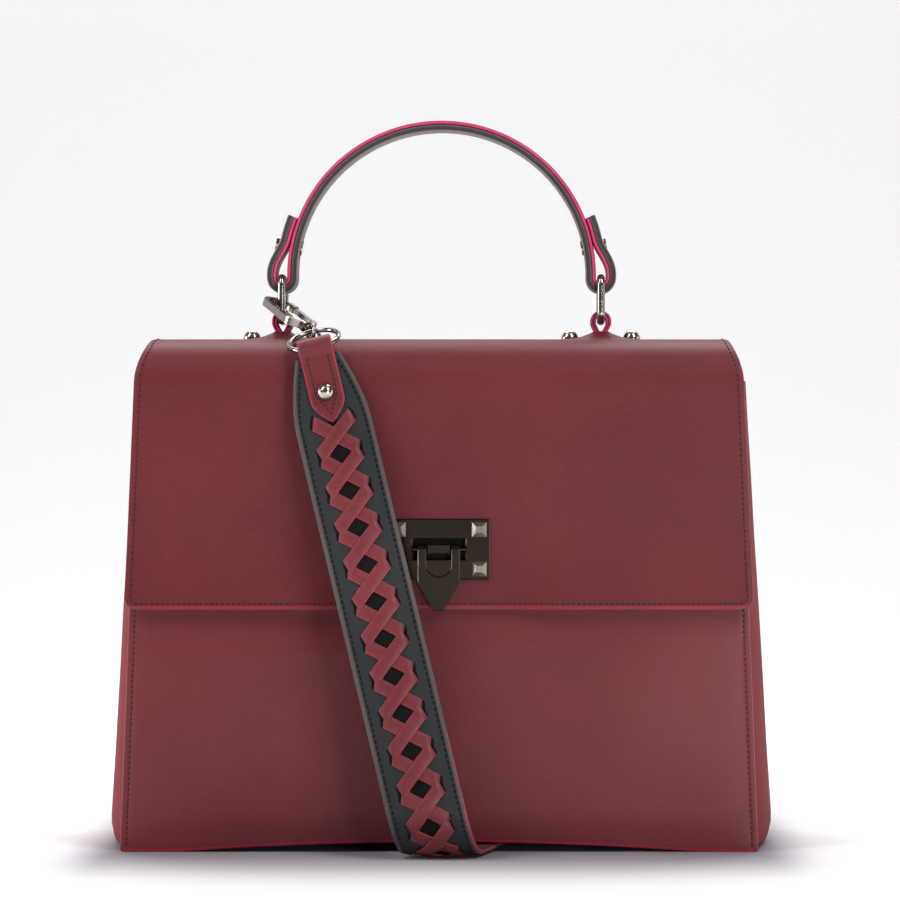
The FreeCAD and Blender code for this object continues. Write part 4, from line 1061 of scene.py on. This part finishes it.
def lace_cross():
    """One cross of the lace in the strap's own axes: X across, Y up the strap, Z out of its face."""
    form = bmesh.new()
    painted = form.faces.layers.bool.new("painted")
    for turn, low, high in ((LACE_TURN, 0.4, 1.1), (-LACE_TURN, 0.05, 0.05)):
        spin = Matrix.Rotation(math.radians(turn), 3, "Z")
        rings = []
        for t in steps(-1.0, 1.0, 25):
            dive = max(0.0, (abs(t) - LACE_DIVE) / (1.0 - LACE_DIVE))
            rise = low + (high - low) * math.exp(-((t / 0.5) ** 4)) - 1.7 * dive ** 2
            ring = []
            for u, depth in LACE_SECTION:
                skew = math.copysign(u * LACE_HALF_WIDE * LACE_SKEW, u * turn)
                place = Vector((t * LACE_REACH + skew, u * LACE_HALF_WIDE, rise + LACE_THICK * (1.0 - depth)))
                ring.append(form.verts.new((spin @ place) * MM))
            rings.append(ring)
        for ring, following in zip(rings, rings[1:]):
            for k in range(len(ring)):
                n = (k + 1) % len(ring)
                face = form.faces.new((ring[k], ring[n], following[n], following[k]))
                face[painted] = k in LACE_PAINTED
                face.smooth = True
        form.faces.new(rings[0])
        form.faces.new(rings[-1])
    bmesh.ops.recalc_face_normals(form, faces=form.faces)
    return placed("lace_cross", shaped("lace_cross", form))


def slot_cross():
    """The four slots that one cross goes through: flat lenses at the ends of its bands, near-black as painted
    shade.
    """
    form = bmesh.new()
    for turn in (LACE_TURN, -LACE_TURN):
        spin = Matrix.Rotation(math.radians(turn), 3, "Z")
        skew = math.copysign(LACE_SKEW, turn)
        for end in (-1.0, 1.0):
            rim = []
            for angle in range(0, 360, 30):
                along = SLOT_HALF_LONG * math.sin(math.radians(angle))
                out = SLOT_HALF_THIN * math.cos(math.radians(angle)) + end * (LACE_REACH - SLOT_INSET)
                rim.append(form.verts.new(spin @ Vector((out + along * skew, along, SLOT_LIFT)) * MM))
            form.faces.new(rim)
    return placed("slot_cross", shaped("slot_cross", form))


def lacing_tree():
    """Geometry nodes: a cross at every pitch along the strap, its edges painted."""
    tree, nodes, links, entry, leave = path_tree(
        "lacing", [("Path", "Geometry", None), ("Cross", "Object", None), ("Count", "Int", LACE_COUNT),
                   ("Lace", "Material", None), ("Edge", "Material", None)], "Lacing")
    cross, painted = nodes.new("GeometryNodeObjectInfo"), nodes.new("GeometryNodeInputNamedAttribute")
    faces, edges = nodes.new("GeometryNodeSetMaterial"), nodes.new("GeometryNodeSetMaterial")
    painted.data_type = "BOOLEAN"
    preset(painted, {"Name": "painted"})
    laid, real = laid_along(nodes, links, entry, "COUNT", "Count", "Count", "Y")
    join(links, (entry, "Cross", cross, "Object"), (cross, "Geometry", laid, "Instance"),
         (real, "Geometry", faces, "Geometry"), (entry, "Lace", faces, "Material"),
         (faces, "Geometry", edges, "Geometry"), (painted, "Attribute", edges, "Selection"),
         (entry, "Edge", edges, "Material"), (edges, "Geometry", leave, "Lacing"))
    return tree


def laced(name, cross, lace, edge):
    """Crosses grown flat along the lacing's run, then laid on the strap and pressed on the floor."""
    middles = [LACE_START + (k + 0.5) * LACE_PITCH for k in range(LACE_COUNT - 1, -1, -1)]
    path = [((0.0, -middle, 0.0), (0.0, 0.0, 1.0)) for middle in middles]
    values = {"Cross": cross, "Count": LACE_COUNT, "Lace": lace, "Edge": edge}
    piece = grown(name, path_mesh(name + "_path", [path]), LACING, values)
    bpy.data.objects.remove(cross)
    for vertex in piece.data.vertices:
        flat = vertex.co / MM
        place, facing = strap_place(-flat.y, flat.x)
        vertex.co = (place + facing * (STRAP_THICK / 2 + flat.z)) * MM
        vertex.co.z = max(vertex.co.z, LACE_PRESSED * MM)
    return piece


LACING = lacing_tree()
lacing = laced("strap_lacing", lace_cross(), LACE_LEATHER, LACE_EDGE)
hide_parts("strap_lace")
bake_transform(lacing)
# Painted shade: a near-black strip under the lace darkens the windows between its bands, and near-black
# lenses darken the slots.
SHADE_BLACK = leather("lace_painted_shade", linear(20, 20, 21), linear(28, 28, 29), 0.8, 0.9, gloss=0.05)
slots = laced("lace_slots", slot_cross(), SHADE_BLACK, SHADE_BLACK)
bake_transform(slots)
SHADE_STRIP_HALF = 4.8
SHADE_STRIP_INSET = 2.0
shade_strip_outer, shade_strip_inner = [], []
for down in steps(LACE_START + SHADE_STRIP_INSET, LACE_START + LACE_COUNT * LACE_PITCH - SHADE_STRIP_INSET, 120):
    shade_strip_row = [strap_place(down, off) for off in steps(-SHADE_STRIP_HALF, SHADE_STRIP_HALF, 9)]
    shade_strip_outer.append([place + facing * (STRAP_THICK / 2 + 0.07) for place, facing in shade_strip_row])
    shade_strip_inner.append([place + facing * (STRAP_THICK / 2 - 0.4) for place, facing in shade_strip_row])
lace_bed = sheet_mesh("lace_bed", shade_strip_outer, shade_strip_inner, (SHADE_BLACK,) * 4, 0.02)
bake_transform(lace_bed)

# Strap ends: a burgundy strip folded round the end ring and sewn to the strap, its front leaf pointed, with
# two stitch lines that meet in a point and a domed stud. A swivel hook with a sprung gate hangs on each ring.
TAB_WIDE_HALF = 8.5
END_LEATHER = 1.6
END_LOOP = 3.7
END_LOOP_RISE = 4.4
END_FRONT = 34.6
END_BACK = 26.0
END_TIP = 12.0
END_PAINT = 0.5
END_SEAM = 5.2
END_SEAM_TIP = 4.5
END_STITCH = (2.4, 1.9, 0.7)
END_MATERIALS = (BURGUNDY, EDGE_PAINT, BURGUNDY_BACK, EDGE_BRIGHT)


def end_tab(name, origin, across, back, up, body):
    """The folded tab in the frame of a strap end: its front leaf tapers to a point."""
    outer = STRAP_THICK / 2 + END_LEATHER
    loop = END_LOOP + END_LEATHER
    leaf = 40
    line = [((-outer, z), (-1.0, 0.0)) for z in steps(-END_FRONT, 0.0, leaf)]
    cheek = [(outer + (loop - outer) * t, END_LOOP_RISE * t) for t in steps(0.0, 1.0, 6)[1:-1]]
    line += [((-depth, z), (-1.0, 0.0)) for depth, z in cheek]
    for angle in steps(180.0, 0.0, 16):
        out, lift = math.cos(math.radians(angle)), math.sin(math.radians(angle))
        line.append(((loop * out, END_LOOP_RISE + loop * lift), (out, lift)))
    line += [((depth, z), (1.0, 0.0)) for depth, z in reversed(cheek)]
    line += [((outer, z), (1.0, 0.0)) for z in steps(0.0, -END_BACK, 14)]
    outer_grid, inner_grid = [], []
    for k, ((depth, z), (out, lift)) in enumerate(line):
        half = TAB_WIDE_HALF
        if k < leaf and z < END_TIP - END_FRONT:
            drop = (END_TIP - END_FRONT - z) / END_TIP
            half = max(TAB_WIDE_HALF * (1.0 - drop ** 1.8), 0.15)
        facing = back * out + up * lift
        middle = origin + back * depth + up * z
        outer_row, inner_row = [], []
        for u in [-1.0, -0.94, -0.85] + steps(-0.7, 0.7, 9) + [0.85, 0.94, 1.0]:
            roll = 0.3 * max(0.0, (abs(u) - 0.85) / 0.15) ** 2
            spot = middle + across * (u * half)
            outer_row.append(spot - facing * roll)
            inner_row.append(spot - facing * (END_LEATHER - 0.05))
        outer_grid.append(outer_row)
        inner_grid.append(inner_row)
    tab = sheet_mesh(name, outer_grid, inner_grid, END_MATERIALS, 0.15, (0.0, 0.0, END_PAINT))
    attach(tab, body)
    rows = []
    for side in (-1, 1):
        row = []
        for z in steps(1.0, END_SEAM_TIP - END_FRONT, 50):
            x = END_SEAM
            if z < END_TIP - END_FRONT + 2.0:
                x = END_SEAM * max(0.02, (z + END_FRONT - END_SEAM_TIP) / (END_TIP - 2.5))
            row.append((origin + across * (side * x) - back * (outer + 0.04) + up * z, -back))
        rows.append(row)
    stitch(name + "_seams", rows, body, THREAD, END_STITCH)
    return tab


near_tab = end_tab("near_tab", STRAP_END, STRAP_ACROSS, STRAP_BACK, STRAP_UP, "flap")
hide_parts("near_end_tab")
far_tab = end_tab("far_tab", tail_end, -TAIL_ACROSS, Vector((0.0, 0.0, -1.0)), -TAIL_ALONG, "bag")
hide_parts("far_end_tab")
finish_nodes(STUD_NICKEL, "near_end_stud", "far_end_stud")
for end in ("near", "far"):
    finish_nodes(RING_NICKEL, f"{end}_end_ring", f"{end}_hook", f"{end}_hook_swivel", f"{end}_hook_gate")

# Stage, in metres: a pale sweep that rises behind the bag, soft lamps at both sides and above, and the
# camera, level with the middle of the flap and almost square to the front.
SWEEP_REACH = 14.0
SWEEP_BACK = 1.6
SWEEP_ROUND = 1.2
SWEEP_TALL = 4.0
PAPER_SHADED = (0.22, 0.19, 0.23, 1.0)
PAPER_PALE = (0.73, 0.72, 0.745, 1.0)


def paper_painted_shadow():
    """Paper with painted light: it glows a little away from the bag's footprint, and its colour is darker
    close to it, a painted shadow.
    """
    material, nodes, links, shader = new_finish("paper_painted_shadow")
    place = nodes.new("ShaderNodeTexCoord")
    aside, past, clear, wide, far = (nodes.new("ShaderNodeVectorMath") for _ in range(5))
    aside.operation, past.operation, clear.operation = "ABSOLUTE", "SUBTRACT", "MAXIMUM"
    wide.operation, far.operation = "MULTIPLY", "LENGTH"
    preset(past, {1: (FOOT_HALF * MM, -BODY_FRONT * MM, 0.0)})
    preset(clear, {1: (0.0, 0.0, 0.0)})
    preset(wide, {1: (4.0, 1.0, 1.0)})
    # Painted light: glow and colour both follow the distance from the bag's footprint, a painted shadow near
    # the bag.
    glow, shadow_mask = nodes.new("ShaderNodeMapRange"), nodes.new("ShaderNodeMapRange")
    shadow_mask.interpolation_type = "SMOOTHSTEP"
    preset(glow, {"From Min": 0.03, "From Max": 0.42, "To Max": 0.455})
    preset(shadow_mask, {"From Min": -0.02, "From Max": 0.13})
    paper = two_tones(nodes, PAPER_SHADED, PAPER_PALE)
    preset(shader, {"Roughness": 0.7, "Specular IOR Level": 0.2, "Emission Color": (1.0, 1.0, 1.0, 1.0)})
    join(links, (place, "Object", aside, 0), (aside, "Vector", past, 0), (past, "Vector", clear, 0),
         (clear, "Vector", wide, 0), (wide, "Vector", far, 0), (far, "Value", glow, "Value"),
         (glow, "Result", shader, "Emission Strength"), (far, "Value", shadow_mask, "Value"),
         (shadow_mask, "Result", paper, "Factor"), (paper, "Result", shader, "Base Color"))
    return material


def pale_sweep():
    """The floor and the backdrop in one bent sheet."""
    form = bmesh.new()
    profile = [(-SWEEP_REACH, 0.0), (SWEEP_BACK, 0.0)]
    profile += [(SWEEP_BACK + SWEEP_ROUND * math.sin(turn), SWEEP_ROUND * (1.0 - math.cos(turn)))
                for turn in steps(0.15, math.pi / 2, 14)]
    profile.append((SWEEP_BACK + SWEEP_ROUND, SWEEP_TALL))
    rows = [[form.verts.new(Vector((x, y, z))) for y, z in profile] for x in (-SWEEP_REACH, SWEEP_REACH)]
    for k in range(len(profile) - 1):
        face = form.faces.new((rows[0][k], rows[1][k], rows[1][k + 1], rows[0][k + 1]))
        face.smooth = True
    mesh = shaped("pale_sweep", form)
    mesh.materials.append(paper_painted_shadow())
    return placed("pale_sweep", mesh)


pale_sweep()


def aimed(name, light, place, aim):
    """Stand a light at a place and turn it to a point."""
    stand = placed(name, light)
    stand.location = place
    stand.rotation_euler = (Vector(aim) - Vector(place)).to_track_quat("-Z", "Y").to_euler()


def lamp(name, place, aim, wide, tall, power):
    """A soft rectangular lamp turned to a point."""
    light = bpy.data.lights.new(name, "AREA")
    light.shape = "RECTANGLE"
    light.size, light.size_y, light.energy = wide, tall, power
    aimed(name, light, place, aim)


lamp("left_softbox", (-1.25, -1.0, 1.75), (0.0, 0.0, 0.14), 0.7, 1.5, 19.5)
lamp("right_softbox", (0.95, -1.25, 1.7), (0.0, 0.0, 0.12), 0.6, 1.5, 22.5)
lamp("overhead", (0.0, 0.65, 1.6), (0.0, 0.05, 0.2), 1.6, 0.7, 22.0)
lamp("left_side", (-1.7, -0.12, 0.35), (0.0, 0.0, 0.13), 0.4, 0.8, 15.0)
lamp("right_side", (1.7, -0.12, 0.35), (0.0, 0.0, 0.13), 0.4, 0.8, 2.5)
lamp("front_glint", (0.85, -1.65, 0.14), (0.13, 0.0, 0.07), 0.3, 0.3, 6.0)

body_glow = bpy.data.lights.new("body_glow", "SPOT")
body_glow.spot_size = math.radians(5.0)
body_glow.spot_blend = 1.0
body_glow.energy = 12.0
body_glow.shadow_soft_size = 0.06
aimed("body_glow", body_glow, (0.55, -1.6, 0.45), (0.126, -0.06, 0.062))

world = bpy.data.worlds.new("studio")
world.use_nodes = True
preset(world.node_tree.nodes["Background"], {"Color": (0.95, 0.95, 0.96, 1.0), "Strength": 0.09})
bpy.context.scene.world = world
bpy.context.scene.view_settings.view_transform = "Standard"

lens = bpy.data.cameras.new("camera")
lens.sensor_width = 36.0
lens.lens = 144.0
lens.shift_x = -0.0878
lens.clip_end = 50.0
camera = placed("camera", lens)
camera.location = (0.045, -1.86, 0.201)
camera.rotation_euler = (math.pi / 2, 0.0, 0.0)
bpy.context.scene.camera = camera
